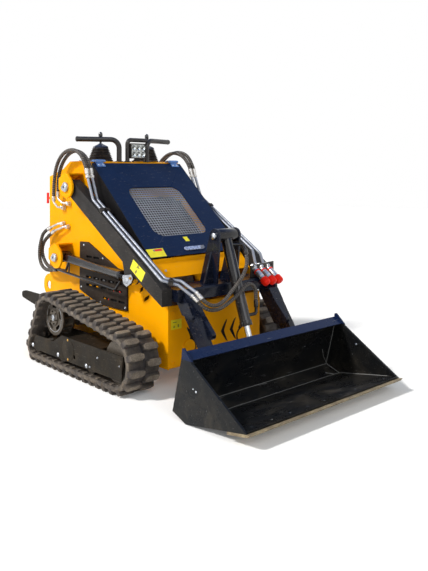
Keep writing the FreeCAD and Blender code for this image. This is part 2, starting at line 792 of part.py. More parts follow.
def make_arm_pins():
    """Pins on the arms: for the lift cylinder rods, the tilt cylinder barrel and the bucket pivots."""
    arm_outer = arm_inner + arm_width
    head = 6
    inner_end = rod("lift_pin_inner", eye_pin, 12.7, (-(arm_inner + 12.7), rod_y, rod_z))
    outer_end = rod("lift_pin_outer", eye_pin, 14, (-(arm_outer + 1), rod_y, rod_z))
    flag = rod("lift_rod_flag", eye_pin + 8, head, (-(arm_outer + 1), rod_y, rod_z))
    lift = fuse("lift_rod_bolt", inner_end, outer_end, flag)
    pivot = rod("bucket_pin", eye_pin, 74, (-(leg_outer + 6), bucket_y, bucket_z))
    pivot_head = rod("bucket_pin_head", eye_pin + 8, head, (-(leg_outer + 6), bucket_y, bucket_z))
    bucket = fuse("bucket_bolt", pivot, pivot_head)
    half = tower_inner + tower_plate + 8
    tilt = rod("tilt_barrel_pin", eye_pin, half * 2, (-half, tower_y, tower_z))
    keep("arm_pins", fuse("arm_pins", lift, mirror("lift_bolt_left", lift), bucket,
                          mirror("bucket_bolt_left", bucket), tilt))


def arm_top(y, offset):
    """Give the height of a line that runs along the arm's top face at an offset above it."""
    slope = (993 - 723) / (339 + 107)
    return 723 + slope * (y + 107) + offset * math.sqrt(1 + slope * slope)


def make_arm_pipes():
    """Steel pipes clipped to the arm tops: the right ones feed the tilt cylinder, the left ones the couplers."""
    radius = size("pipe_radius", 7.5)
    clear = 8.5
    right_ends = {-380: [(-380, -425, arm_top(-425, clear)), (-322, -474, 519), (-285, -535, 470),
                         (-272, -560, 447)],
                  -352: [(-352, -418, arm_top(-418, clear)), (-306, -476, 536), (-285, -556, 494),
                         (-270, -586, 462)]}
    left_ends = {380: [(380, -330, arm_top(-330, clear)), (307, -425, 556), (307, -444.2, 546.7)],
                 352: [(352, -300, arm_top(-300, clear)), (255, -415, 562), (255, -444.2, 546.9)]}
    for side_name, ends in (("right", right_ends), ("left", left_ends)):
        pipes = []
        for x, front in ends.items():
            route = [(x, 231, 1057), (x, 215, 1010), (x, 165, arm_top(165, clear)), *front]
            pipes.append(tube("arm_pipe", radius, route, 20))
            pipes.append(tube("pipe_ferrule", 11, [(x, 232, 1060), (x, 221, 1026)]))
            if side_name == "right":
                pipes.append(tube("front_ferrule", 11, [front[-1], front[-2]]))
        start = 4 - arm_inner - arm_width if side_name == "right" else arm_inner + 4
        clamps = []
        for y in (107, -240):
            outline = [(y - 14, arm_top(y - 14, 0.3)), (y + 12, arm_top(y + 12, 0.3)),
                       (y + 12, arm_top(y + 12, 24)), (y - 14, arm_top(y - 14, 24))]
            clamps.append(prism("pipe_clamp", "YZ_Plane", start, arm_width - 8, outline))
        keep(f"arm_pipes_{side_name}", fuse(f"arm_pipes_{side_name}", *pipes, *clamps))


def make_couplers():
    """Auxiliary couplers on a bracket that stands on the left end of the cross beam."""
    low = beam_top + seat
    bracket = prism("coupler_bracket", "XZ_Plane", 448, 8,
                    [(182, low), (arm_inner - 0.5, low), (354, 520), (354, 569), (182, 560)])
    solids = [bracket]
    for x in (209, 258, 307):
        solids.append(tube("coupler", 15, [(x, -451, 545), (x, -520, 495)]))
        solids.append(tube("coupler_cap", 19, [(x, -516, 498), (x, -550, 473.4)]))
    keep("couplers", fuse("couplers", *solids))


# ---------------------------------------------------------------- cylinders
def aimed(label, thing, start, end, x):
    """Lay a piece made along +X from its pin at one eye towards the other."""
    dy = num(end[0]) - num(start[0])
    dz = num(end[1]) - num(start[1])
    thing.Placement = Placement(Vector(), Rotation(AXES["x"], Vector(0, dy, dz)))
    place(thing, (x, start[0], start[1]))
    return thing


def make_cylinder(label, start, end, x, barrel, barrel_end, first, inside, eye_half, rod_eye, rod_half):
    """Hydraulic cylinder: a hollow barrel with an eye and a gland, and a rod with its own eye."""
    gland = 26
    bore = rod_radius + running
    profile = [(22, 0), (44, 0), (44, barrel - 5), (barrel_end - gland, barrel - 5),
               (barrel_end - gland, bore), (barrel_end, bore), (barrel_end, barrel + 3),
               (barrel_end - gland, barrel + 3), (barrel_end - gland, barrel), (22, barrel)]
    shell = aimed(label, turned(label + "_shell", profile[::-1], (0, 0, 0)), start, end, x)
    eye = rod(label + "_eye", barrel + 6, eye_half * 2, (x - eye_half, start[0], start[1]))
    hole = rod(label + "_bore", eye_pin + running, eye_half * 2 + 2, (x - eye_half - 1, start[0], start[1]))
    length = math.hypot(num(end[0]) - num(start[0]), num(end[1]) - num(start[1]))
    stem = turned(label + "_stem", [(first, 0), (length - 12, 0), (length - 12, rod_radius),
                                    (first + 20, rod_radius), (first + 20, barrel - 5 - running),
                                    (first, barrel - 5 - running)], (0, 0, 0))
    aimed(label, stem, start, end, x)
    tip = rod(label + "_rod_eye", rod_eye, rod_half * 2, (x - rod_half, end[0], end[1]))
    tip_pin = rod(label + "_rod_pin", eye_pin, rod_half * 2 + 3, (x - rod_half - 1.5, end[0], end[1]))
    return cut(label + "_barrel", fuse(label + "_barrel_body", shell, eye, *inside), hole), \
        fuse(label + "_rod", stem, tip, tip_pin)


def make_lift_cylinders():
    """Lift cylinders under the arms, each with steel pipes to its two ports."""
    x = -(arm_inner + arm_width / 2)
    pipes = [tube("front_pipe", 7, [(-372, 591, 480), (-372, 545, 485.5), (-372, -30, 445), (-366, -75, 500)], 30),
             tube("rear_pipe", 7, [(-348, 604, 480), (-348, 500, 484), (-355, 457, 540)], 16),
             tube("front_nut", 11, [(-372, 591, 480), (-372, 556, 484.2)]),
             tube("rear_nut", 11, [(-348, 604, 480), (-348, 570, 481.3)]),
             tube("pipe_stay", 4, [(-372, 430, 477), (-366, 430, 537)])]
    barrel, stem = make_cylinder("lift", (base_y, base_z), (rod_y, rod_z), x, lift_bore, 588, 60, pipes,
                                 arm_width / 2 + 4, 24, arm_width / 2 - 15)
    keep_pair("lift_barrel", barrel)
    keep_pair("lift_rod", stem)


def make_tilt_cylinder():
    """Tilt cylinder between the tower and the quick attach, with an elbow at each port."""
    ports = [tube("low_port", 8, [(77, -593, 383), (77, -594, 350), (23, -588, 346)], 11),
             tube("low_nut", 11, [(77, -592, 414), (77, -593, 381)]),
             tube("top_port", 8, [(62, -533, 657), (63, -514, 684), (24, -474, 684)], 11),
             tube("top_nut", 11, [(61, -540, 636), (62, -531, 662)])]
    barrel, stem = make_cylinder("tilt", (tower_y, tower_z), (lever_y, lever_z), 0, tilt_bore, 454, 90, ports,
                                 tower_inner - 0.5, 24, 26)
    keep("tilt_barrel", barrel)
    keep("tilt_rod", stem)


# ---------------------------------------------------------------- bucket
def back_point(z, offset):
    """Give a point at an offset behind the bucket's back wall."""
    low, high = (-677, 33), (-744, 296)
    length = math.hypot(high[0] - low[0], high[1] - low[1])
    normal = ((high[1] - low[1]) / length, -(high[0] - low[0]) / length)
    y = low[0] + (z - low[1]) * (high[0] - low[0]) / (high[1] - low[1])
    return y + normal[0] * num(offset), z + normal[1] * num(offset)


def make_quick_attach():
    """Quick attach plate with its pivot lugs and the lugs and pin ends of the tilt rod."""
    face = seat + attach_plate
    wall = across("attach_wall", attach_half,
                  [back_point(60, seat), back_point(60, face), back_point(268, face), back_point(268, seat)])
    lug_plate = 14
    pivot_lug = side("pivot_lug", attach_half - lug_plate, lug_plate,
                     [back_point(66, attach_plate - 4), (bucket_y, bucket_z, 28), back_point(190, attach_plate - 4)],
                     [(bucket_y, bucket_z, eye_pin + running)])
    rod_lug = side("rod_lug", 28, 16,
                   [back_point(110, attach_plate - 4), (lever_y, lever_z, 26), back_point(235, attach_plate - 4)])
    pin = rod("rod_pin", eye_pin, 21.7, (-50, lever_y, lever_z))
    one = fuse("attach_side", pivot_lug, rod_lug, pin)
    keep("quick_attach", fuse("quick_attach", wall, one, mirror("attach_other", one)))


def make_bucket():
    """Bucket: a bent shell with a folded lip between two side plates, and a cutting edge."""
    tip, heel, rear, top, lip = (-1119, 59), (-764, 0), (-677, 33), (-744, 296), (-788, 268)
    shell = across("bucket_shell", bucket_half - bucket_side, strip([lip, top, rear, heel, tip][::-1], bucket_wall))
    end = side("bucket_end", bucket_half - bucket_side, bucket_side, [tip, heel, rear, top])
    keep("bucket_shell", fuse("bucket", shell, end, mirror("bucket_end_left", end)))
    slope = (59 - 0) / (-1119 + 764)
    edge = [(-1012, slope * (-1012 + 764)), (-1010, slope * (-1010 + 764) - 12), (-1128, slope * (-1128 + 764) - 12),
            (-1140, slope * (-1140 + 764))]
    keep("cutting_edge", across("cutting_edge", bucket_half, edge))


# ---------------------------------------------------------------- hood
def hood_plane(thing, lift):
    """Lay a piece drawn flat, with x across and y up the slope, on the slope of the hood."""
    rise = num(hood_top_z) - num(hood_low_z)
    run = num(hood_top_y) - num(hood_low_y)
    angle = math.degrees(math.atan2(rise, run))
    turn = Rotation(AXES["x"], angle)
    thing.Placement = Placement(turn.multVec(Vector(0, 0, lift)), turn)
    base = thing.Placement.Base
    place(thing, (0, hood_low_y + base.y, hood_low_z + base.z))
    return thing


def make_mesh(start, thickness):
    """Square mesh behind the hood's window: one row of holes, repeated up the slope."""
    pitch = 40
    hole = 34
    count = 9
    left = -(pitch * count - (pitch - hole)) / 2
    low = 140
    body = DOC.addObject("PartDesign::Body", "Body_hood_mesh")
    sheet = [(-205, 125), (205, 125), (205, 520), (-205, 520)]
    pad = body.newObject("PartDesign::Pad", "MeshPad")
    pad.Profile = sketch_on(body, "XY_Plane", start, [sheet])
    bind(pad, "Length", thickness)
    body.Tip = pad
    row = []
    for column in range(count):
        x = left + column * pitch
        row.append([(x, low), (x + hole, low), (x + hole, low + hole), (x, low + hole)])
    holes = body.newObject("PartDesign::Pocket", "MeshHoles")
    row_sketch = sketch_on(body, "XY_Plane", start, row)
    holes.Profile = row_sketch
    bind(holes, "Length", thickness)
    holes.Reversed = True
    rows = body.newObject("PartDesign::LinearPattern", "MeshRows")
    rows.Originals = [holes]
    rows.Direction = (row_sketch, ["V_Axis"])
    rows.Length = pitch * (count - 1)
    rows.Occurrences = count
    body.Tip = rows
    return hood_plane(body, 0)


def make_hood():
    """Tilting hood with side flanges, a meshed window, hinges and a latch."""
    slope_length = math.hypot(num(hood_top_y) - num(hood_low_y), num(hood_top_z) - num(hood_low_z))
    outline = [(-hood_half, 0), (hood_half, 0), (hood_half, slope_length), (-hood_half, slope_length)]
    window = [(-130, 200, 62), (118, 188, 50), (107, 452, 60), (-132, 452, 60)]
    panel = hood_plane(prism("hood_sheet", "XY_Plane", -hood_wall, hood_wall, outline, window), 0)
    flange = side("hood_flange", hood_half - hood_wall, hood_wall,
                  [(hood_low_y, hood_low_z), (hood_low_y + 4, hood_low_z - 12), (hood_top_y, 944),
                   (hood_top_y, hood_top_z)])
    keep("hood_panel", fuse("hood_panel", panel, flange, mirror("hood_flange_left", flange)))
    keep("hood_mesh", make_mesh(-(hood_wall + 3), 3))
    latch = hood_plane(prism("latch", "XY_Plane", 0, 8, [(-78, 36, 13), (50, 36, 13)]), 0)
    leaf_end = slope_length + 6
    leaf = prism("hinge_leaf", "XY_Plane", 0, 4, [(-292, slope_length - 46), (-232, slope_length - 46),
                                                  (-236, leaf_end), (-288, leaf_end)])
    hood_plane(leaf, 0)
    knuckle = rod("hinge_knuckle", 9, 52, (-288, hinge_y, hinge_z))
    bore = rod("hinge_bore", 5 + running, 60, (-292, hinge_y, hinge_z))
    hinge = cut("hinge", fuse("hinge_body", leaf, knuckle), bore)
    keep("hood_fittings", fuse("hood_fittings", latch, hinge, mirror("hinge_left", hinge)))


def make_hood_hinges():
    """Hinge pins of the hood, in lugs that stand on the control deck."""
    pins = [rod("hood_pin", 5, 76, (-300, hinge_y, hinge_z))]
    for inner in (224, 292):
        pins.append(side("hood_lug", inner, 8,
                         [(hinge_y + 7.5, deck_z - 6.5), (hinge_y + 30, deck_z - 4.8), (hinge_y + 30, hinge_z + 2),
                          (hinge_y, hinge_z, 8)]))
    keep("hood_hinges", both("hood_hinges", fuse("hood_hinge", *pins)))


# ---------------------------------------------------------------- platform
def make_platform():
    """Folding operator platform: side plates on hinge pins and a tread plate between them."""
    cheek = side("platform_side", step_half - step_wall, step_wall,
                 [(800, 200), (975, 216), (step_rear - 22, 260, 22), (1090, step_top), (step_hinge_y, step_hinge_z, 20)],
                 [(step_hinge_y, step_hinge_z, 10 + running)])
    tread = across("platform_tread", step_half - step_wall,
                   strip([(812, 215), (1116, 240)], 6))
    keep("platform", fuse("platform", cheek, mirror("platform_cheek_left", cheek), tread))


# ---------------------------------------------------------------- hoses
def make_fittings():
    """Elbows on the side plates, where the hoses leave the body."""
    upper = [[(-320, 569, 838), (-350, 592, 842), (-362, 613, 868), (-364, 612, 905)],
             [(-320, 511, 864), (-344, 550, 868), (-350, 587, 890), (-350, 588, 932)]]
    lower = [[(-320, 573, 746), (-342, 600, 744), (-350, 662, 722), (-356, 694, 708)],
             [(-320, 523, 730), (-342, 546, 728), (-350, 618, 706), (-350, 655, 688)]]
    solids = []
    for route in upper + lower:
        end = Vector(*route[-1])
        back = (Vector(*route[-2]) - end).normalize() * 34
        start = Vector(*route[0])
        solids.append(tube("elbow", 6.5, route, 9))
        solids.append(tube("elbow_ferrule", 11, [tuple(end), tuple(end + back)]))
        solids.append(rod("elbow_nut", 13, 18, (-(body_half + seat + 18), start.y, start.z)))
    pairs = [fuse("fitting", *solids[i:i + 3]) for i in range(0, len(solids), 3)]
    keep("hose_fittings", both("hose_fittings", fuse("hose_fitting_set", *pairs)))


def make_hoses():
    """Hydraulic hoses: over the arm pivots, behind the lift cylinders and across the tilt cylinder."""
    hose = size("hose_radius", 10.5)
    over = [[(-364, 612, 906), (-368, 604, 985), (-376, 562, 1082), (-379, 490, 1148), (-380, 400, 1172),
             (-380, 310, 1158), (-380, 256, 1110), (-380, 234.4, 1064)],
            [(-350, 588, 933), (-350, 588, 1000), (-350, 556, 1078), (-350, 492, 1138), (-351, 405, 1168),
             (-352, 315, 1150), (-352, 255, 1104), (-352, 233.4, 1064)]]
    pair = fuse("lift_hose_pair", *[tube("lift_hose", hose, route) for route in over])
    keep("lift_hoses", both("lift_hoses", pair))
    behind = [[(-356, 695, 707.5), (-364, 736.5, 689), (-372, 757, 625), (-372, 773, 562), (-372, 757, 505),
               (-372, 712, 473), (-372, 648, 470), (-372, 592, 479.9)],
              [(-350, 656, 687.5), (-350, 712, 660), (-350, 758, 625), (-350, 780, 580), (-350, 762, 528),
               (-350, 712, 490), (-349, 655, 479), (-348, 605, 479.9)]]
    pair = fuse("cylinder_hose_pair", *[tube("cylinder_hose", hose, route) for route in behind])
    keep("cylinder_hoses", both("cylinder_hoses", pair))
    slim = size("tilt_hose_radius", 9)
    across_boom = [[(-271.3, -561.3, 445.7), (-255, -586, 416), (-215, -597, 404), (-165, -598, 406),
                    (-100, -597, 432), (-45, -596, 460), (4, -595, 497), (30, -594, 501.5), (55, -593, 492),
                    (72, -592, 471), (77, -592, 448), (77, -592, 415)],
                   [(-269.5, -587, 461), (-252, -606, 438), (-212, -614, 426), (-150, -606, 440),
                    (-85, -590, 478), (-22, -588, 527), (26, -575, 575), (51, -557, 607), (60.6, -541, 633)]]
    keep("tilt_hoses", fuse("tilt_hoses", *[tube("tilt_hose", slim, route) for route in across_boom]))


def check_and_write():
    """Stop on any failed object, then write one STEP file for each sub-part."""
    DOC.recompute()
    failed = [o.Label for o in DOC.Objects if "Invalid" in o.State or "Error" in o.State]
    if failed:
        raise SystemExit(f"failed objects: {failed}")
    os.makedirs("parts", exist_ok=True)
    for piece in PIECES:
        shape = piece.Shape
        if shape.isNull() or not shape.isValid() or not shape.Solids:
            raise SystemExit(f"bad shape: {piece.Label}")
        box = shape.BoundBox
        print(f"{piece.Label}: solids {len(shape.Solids)}, x {box.XMin:.0f} {box.XMax:.0f}, "
              f"y {box.YMin:.0f} {box.YMax:.0f}, z {box.ZMin:.0f} {box.ZMax:.0f}")
        shape.exportStep(f"parts/{piece.Label}.step")


make_track()
make_sprocket()
make_wheels()
make_track_frame()
make_side_plates()
make_panels()
make_rear_panel()
make_engine()
make_grilles()
make_handles()
make_joysticks()
make_lamp()
make_isolator()
make_body_pins()
make_arms()
make_boom_head()
make_arm_pins()
make_arm_pipes()
make_couplers()
make_lift_cylinders()
make_tilt_cylinder()
make_quick_attach()
make_bucket()
make_hood()
make_hood_hinges()
make_platform()
make_fittings()
make_hoses()
check_and_write()
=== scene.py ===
"""Looks of the mini track loader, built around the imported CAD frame."""
import random
from math import cos, pi, radians, sin, sqrt, tan

import bmesh
import bpy
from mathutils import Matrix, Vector


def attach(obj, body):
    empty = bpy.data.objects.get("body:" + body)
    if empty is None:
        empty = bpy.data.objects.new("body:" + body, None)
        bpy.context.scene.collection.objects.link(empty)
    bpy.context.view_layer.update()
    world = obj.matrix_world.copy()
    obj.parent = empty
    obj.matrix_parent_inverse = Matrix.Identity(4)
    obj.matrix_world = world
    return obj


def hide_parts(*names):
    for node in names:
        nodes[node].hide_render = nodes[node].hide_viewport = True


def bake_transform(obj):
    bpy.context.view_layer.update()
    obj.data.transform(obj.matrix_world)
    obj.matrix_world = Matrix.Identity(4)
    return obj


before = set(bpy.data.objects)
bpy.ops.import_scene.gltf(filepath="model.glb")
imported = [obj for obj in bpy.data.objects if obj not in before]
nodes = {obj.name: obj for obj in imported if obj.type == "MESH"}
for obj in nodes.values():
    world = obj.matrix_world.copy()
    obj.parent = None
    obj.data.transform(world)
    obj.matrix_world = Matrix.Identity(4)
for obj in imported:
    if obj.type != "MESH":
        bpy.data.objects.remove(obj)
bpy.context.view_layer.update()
MM = 0.001
UP, FRONT, BACK = (0, 0, 1), (0, -1, 0), (0, 1, 0)
SIDES = (("right", -1), ("left", 1))

# Places in millimetres that several pieces share: x across, y towards the back, z up.
DECK_Z = 1108
ARM_PIN, LIFT_PIN, TILT_PIN = (382, 963), (498, 565), (-455, 730)
SPROCKET = (376, 257)
EAR_X, TRACK_X, FRAME_X = 427, 456, 540
FRONT_Y, REAR_Y = -390, 752
HINGE = (290, 1106)
BOSS = (184, 191)
COUPLERS_X = (209, 258, 307)
random.seed(4)


# ---- camera
def add_object(name, data, place=(0, 0, 0), aim=None):
    """Put an object in the scene; a lamp or camera looks along aim."""
    item = bpy.data.objects.new(name, data)
    item.location = place
    if aim:
        item.rotation_mode = "QUATERNION"
        item.rotation_quaternion = Vector(aim).to_track_quat("-Z", "Y")
    bpy.context.scene.collection.objects.link(item)
    return item


def make_camera():
    data = bpy.data.cameras.new("camera")
    data.lens = 42.49
    data.sensor_width = 36.0
    data.sensor_fit = "AUTO"
    data.shift_y = -114.5 / 571
    data.clip_start = 0.1
    data.clip_end = 60
    bpy.context.scene.camera = add_object("camera", data, Vector((-2315.04, -2908.4, 1051.05)) * MM,
                                          (0.67385, 0.73887, 0))


make_camera()


# ---- materials
def colour(r, g, b):
    """Turn an sRGB colour in 0..255 into a linear one."""
    def line(c):
        c = c / 255
        return c / 12.92 if c < 0.04045 else ((c + 0.055) / 1.055) ** 2.4
    return (line(r), line(g), line(b), 1.0)


def dim(rgba, share):
    return tuple(c * share for c in rgba[:3]) + (1.0,)


class Nodes:
    """Adds and links the shader nodes of a material, or of the world."""

    def __init__(self, name, owner=None, end="OutputMaterial", place="Object"):
        self.owner = owner or bpy.data.materials.new(name)
        self.owner.use_nodes = True
        self.tree = self.owner.node_tree
        self.tree.nodes.clear()
        self.out = self.add(end)
        self.place = self.add("TexCoord").outputs[place]

    def feed(self, socket, value):
        """Set a socket to a constant, or link another socket to it."""
        if isinstance(value, (int, float, tuple)):
            socket.default_value = value
        else:
            self.tree.links.new(value, socket)

    def add(self, kind, sockets=None, **values):
        node = self.tree.nodes.new("ShaderNode" + kind)
        for key, value in values.items():
            setattr(node, key, value)
        for key, value in (sockets or {}).items():
            self.feed(node.inputs[key], value)
        return node

    def end(self, node):
        self.feed(self.out.inputs["Surface"], node.outputs[0])
        return self.owner

    def noise(self, scale, detail=3.0, rough=0.55, stretch=None, warp=0.0):
        source = self.place
        if stretch:
            source = self.add("Mapping", {"Scale": stretch, "Vector": source}).outputs["Vector"]
        return self.add("TexNoise", {"Scale": scale, "Detail": detail, "Roughness": rough, "Distortion": warp,
                                     "Vector": source}).outputs["Fac"]

    def ramp(self, value, low, high, a=0.0, b=1.0):
        return self.add("MapRange", {"Value": value, "From Min": low, "From Max": high, "To Min": a, "To Max": b},
                        interpolation_type="SMOOTHSTEP").outputs["Result"]

    def patches(self, low, high, *noise):
        """Noise with its contrast raised between two levels."""
        return self.ramp(self.noise(*noise), low, high)

    def maths(self, operation, a, b=0.0):
        return self.add("Math", {0: a, 1: b}, operation=operation).outputs[0]

    def times(self, a, b):
        return self.maths("MULTIPLY", a, b)

    def plus(self, a, b):
        return self.maths("ADD", a, b)

    def mix(self, factor, a, b):
        return self.add("Mix", {"Factor": factor, 6: a, 7: b}, data_type="RGBA").outputs[2]

    def axis(self, name):
        return self.add("SeparateXYZ", {0: self.place}).outputs[name]

    # Amount per vertex: dust on the track, and on the hoses' guard crests partly wear and partly a painted highlight.
    def wear_and_sheen_mask(self):
        return self.add("Attribute", attribute_name="wear_and_sheen").outputs["Fac"]

    def rays_to_eye(self):
        """Give 1 for what the camera sees, also in mirrors and through glass."""
        path = self.add("LightPath").outputs
        seen = self.maths("MAXIMUM", path["Is Camera Ray"], path["Is Glossy Ray"])
        return self.maths("MAXIMUM", seen, path["Is Transmission Ray"])

    def bump(self, height, strength, distance):
        return self.add("Bump", {"Strength": strength, "Distance": distance, "Height": height}).outputs["Normal"]

    def shader(self, base, rough, metallic=0.0, coat=0.0, specular=0.5, *, normal, more=None):
        return self.end(self.add("BsdfPrincipled", {
            "Base Color": base, "Roughness": rough, "Metallic": metallic, "Specular IOR Level": specular,
            "Coat Weight": coat, "Coat Roughness": 0.06, "Normal": normal, **(more or {})}))


def paint(name, base, rough=0.32, coat=0.35, shade=0.75, dust=0.25, low=0.35, dust_rgb=(150, 135, 112),
          specular=0.5, painted_shade_beyond=None):
    """Gloss paint with mottled tone, orange peel, and dust that thickens towards the ground.

    Where a last distance is given, what lies further than it from the middle plane is black: painted shade on the side
    flanges of the hood.
    """
    n = Nodes(name)
    base = colour(*base)
    tone = n.mix(n.patches(0.35, 0.7, 3.5, 4), base, dim(base, shade))
    height = n.ramp(n.axis("Z"), 0.0, low, 1.0, 0.12)
    patch = n.patches(0.42, 0.72, 9, 6, 0.65)
    fine = n.patches(0.4, 0.75, 160, 3, 0.7)
    film = n.times(n.times(height, dust), n.plus(n.times(patch, 0.75), n.times(fine, 0.35)))
    tone = n.mix(film, tone, colour(*dust_rgb))
    scratch = n.patches(0.66, 0.71, 28, 2, 0.5, (1.0, 1.0, 9.0), 1.2)
    tone = n.mix(n.times(scratch, 0.16), tone, colour(175, 165, 150))
    gloss = n.plus(n.times(film, 0.5), n.ramp(n.noise(14, 5), 0.3, 0.8, rough, rough + 0.14))
    # Painted shade: the side flanges far from the middle plane are darkened to black.
    if painted_shade_beyond:
        painted_shade_mask = n.ramp(n.maths("ABSOLUTE", n.axis("X")), painted_shade_beyond - 0.0004, painted_shade_beyond + 0.0004)
        tone = n.mix(painted_shade_mask, tone, colour(22, 21, 22))
    skin = n.plus(n.times(n.noise(220, 2), 0.12), n.times(film, 0.5))
    return n.shader(tone, gloss, 0.0, coat, normal=n.bump(skin, 0.25, 0.0006), specular=specular)


def metal(name, base, rough=0.3, metallic=1.0, stain=(95, 82, 66), amount=0.3, peak=0.66, bumps=0.12):
    """Plated or bare metal with brushed grain, cloudy tone and a little staining."""
    n = Nodes(name)
    base = colour(*base)
    cloudy = n.mix(n.patches(0.3, 0.75, 40, 4), base, dim(base, peak))
    spots = n.times(n.patches(0.55, 0.75, 65, 5, 0.7), amount)
    tone = n.mix(spots, cloudy, colour(*stain))
    gloss = n.plus(n.ramp(n.noise(90, 4), 0.25, 0.8, rough * 0.75, rough * 1.3), n.times(spots, 0.45))
    lines = n.noise(420, 3, 0.6, (1, 1, 1))
    return n.shader(tone, gloss, metallic, normal=n.bump(lines, bumps, 0.0004))


def rubber():
    """Track rubber: dark in the valleys, pale dry dust on the lugs and flanks."""
    n = Nodes("track_rubber")
    wear_and_sheen_mask = n.wear_and_sheen_mask()
    grey = n.mix(n.patches(0.3, 0.75, 30, 4), colour(62, 58, 58), colour(38, 36, 37))
    cloud = n.ramp(n.noise(16, 6, 0.68), 0.3, 0.68, 0.35, 1.0)
    speck = n.ramp(n.noise(190, 3, 0.7), 0.38, 0.7, 0.55, 1.0)
    film = n.times(wear_and_sheen_mask, n.times(cloud, speck))
    tone = n.mix(film, grey, colour(150, 137, 120))
    dirt = n.times(n.patches(0.45, 0.8, 24, 5, 0.7), n.ramp(n.axis("Z"), 0.02, 0.3, 0.75, 0.22))
    tone = n.mix(dirt, tone, colour(92, 78, 60))
    rough = n.ramp(n.noise(60, 4), 0.3, 0.8, 0.62, 0.9)
    pits = n.plus(n.noise(240, 4, 0.7), n.times(n.noise(45, 4), 0.6))
    return n.shader(tone, rough, normal=n.bump(pits, 0.4, 0.001), specular=0.2)


def hose_skin():
    """Black spiral-guarded hose: crests along the guard lighter, partly from wear and partly as a painted highlight;
    dull valleys.
    """
    n = Nodes("hose_skin")
    wear_and_sheen_mask = n.wear_and_sheen_mask()
    patch = n.ramp(n.noise(70, 4, 0.7), 0.35, 0.7, 0.25, 1.0)
    # Painted highlight: the crests of the guard are lighter, partly for wear and partly for light catching them.
    tone = n.mix(n.times(wear_and_sheen_mask, patch), colour(42, 38, 36), colour(122, 114, 104))
    tone = n.mix(n.times(n.patches(0.5, 0.72, 260, 3, 0.7), 0.35), tone, colour(150, 140, 126))
    return n.shader(tone, n.ramp(n.noise(120, 3), 0.3, 0.8, 0.38, 0.62), normal=n.bump(n.noise(500, 2), 0.2, 0.0004),
                    specular=0.3)


def moulded(name, base, rough=0.5, specular=0.4, dust=0.3):
    """Moulded rubber or plastic with a fine texture and dust in patches."""
    n = Nodes(name)
    film = n.times(n.patches(0.45, 0.8, 45, 5, 0.7), dust)
    tone = n.mix(film, colour(*base), colour(150, 138, 120))
    tone = n.mix(n.times(n.noise(12, 3), 0.35), tone, dim(colour(*base), 0.7))
    return n.shader(tone, n.ramp(n.noise(80, 4), 0.3, 0.8, rough * 0.85, min(1.0, rough * 1.25)),
                    normal=n.bump(n.noise(700, 2), 0.3, 0.0003), specular=specular)


def sticker_skin(name, base):
    n = Nodes(name)
    tone = n.mix(n.patches(0.4, 0.8, 25, 4), colour(*base), dim(colour(*base), 0.84))
    tone = n.mix(n.times(n.patches(0.6, 0.75, 180, 3, 0.7), 0.3), tone, colour(120, 110, 90))
    return n.shader(tone, n.ramp(n.noise(60, 3), 0.3, 0.8, 0.3, 0.48), coat=0.2,
                    normal=n.bump(n.noise(90, 2), 0.1, 0.0004))


def glass(name):
    """Thin clear lens with a smudged surface."""
    n = Nodes(name)
    tone = n.mix(n.noise(20, 2), (0.92, 0.94, 0.95, 1), (0.86, 0.88, 0.88, 1))
    return n.shader(tone, n.ramp(n.noise(60, 4), 0.3, 0.8, 0.04, 0.2), normal=n.bump(n.noise(180, 2), 0.04, 0.0003),
                    more={"Transmission Weight": 1.0, "IOR": 1.3})


def worn_edge():
    """Cutting edge: khaki scale, rust and bright scrapes along its length."""
    n = Nodes("worn_edge")
    tone = n.mix(n.patches(0.35, 0.68, 18, 6, 0.7), colour(164, 148, 116), colour(112, 98, 78))
    rust = n.patches(0.54, 0.72, 34, 6, 0.72)
    tone = n.mix(n.times(rust, 0.6), tone, colour(96, 62, 38))
    scrape = n.patches(0.6, 0.7, 30, 3, 0.6, (0.35, 6.0, 6.0), 0.4)
    tone = n.mix(n.times(scrape, 0.55), tone, colour(178, 170, 152))
    return n.shader(tone, n.ramp(n.noise(50, 4), 0.3, 0.8, 0.42, 0.72), 0.35,
                    normal=n.bump(n.noise(130, 5, 0.7), 0.5, 0.0012))


def bucket_skin():
    """Bucket paint: black gloss, scuffed and dusty on the floor of the bucket and low on its sides, with a painted
    reflection of the sky in navy along its top.
    """
    n = Nodes("bucket_paint")
    base = n.mix(n.patches(0.35, 0.7, 3, 4), colour(9, 13, 18), colour(20, 20, 20))
    height = n.ramp(n.axis("Z"), 0.0, 0.22, 1.0, 0.25)
    patch = n.patches(0.42, 0.78, 7, 6, 0.7, (0.6, 1.0, 1.0), 0.8)
    fine = n.patches(0.42, 0.76, 210, 3, 0.7)
    film = n.times(n.times(height, 0.42), n.plus(n.times(patch, 0.7), n.times(fine, 0.3)))
    tone = n.mix(film, base, colour(98, 90, 76))
    # Painted reflection: above 0.266 m the black turns navy, for the sky reflected in the up-facing lip.
    tone = n.mix(n.ramp(n.axis("Z"), 0.2655, 0.2665), tone, colour(13, 29, 62))
    scrape = n.patches(0.665, 0.7, 22, 3, 0.6, (0.4, 7.0, 7.0), 0.5)
    tone = n.mix(n.times(scrape, 0.3), tone, colour(150, 150, 150))
    gloss = n.plus(n.times(film, 0.6), n.ramp(n.noise(9, 5), 0.3, 0.8, 0.22, 0.4))
    skin = n.plus(n.times(n.noise(200, 2), 0.15), n.times(n.noise(14, 3), 0.5))
    return n.shader(tone, gloss, 0.0, 0.04, normal=n.bump(skin, 0.2, 0.001), specular=0.16)


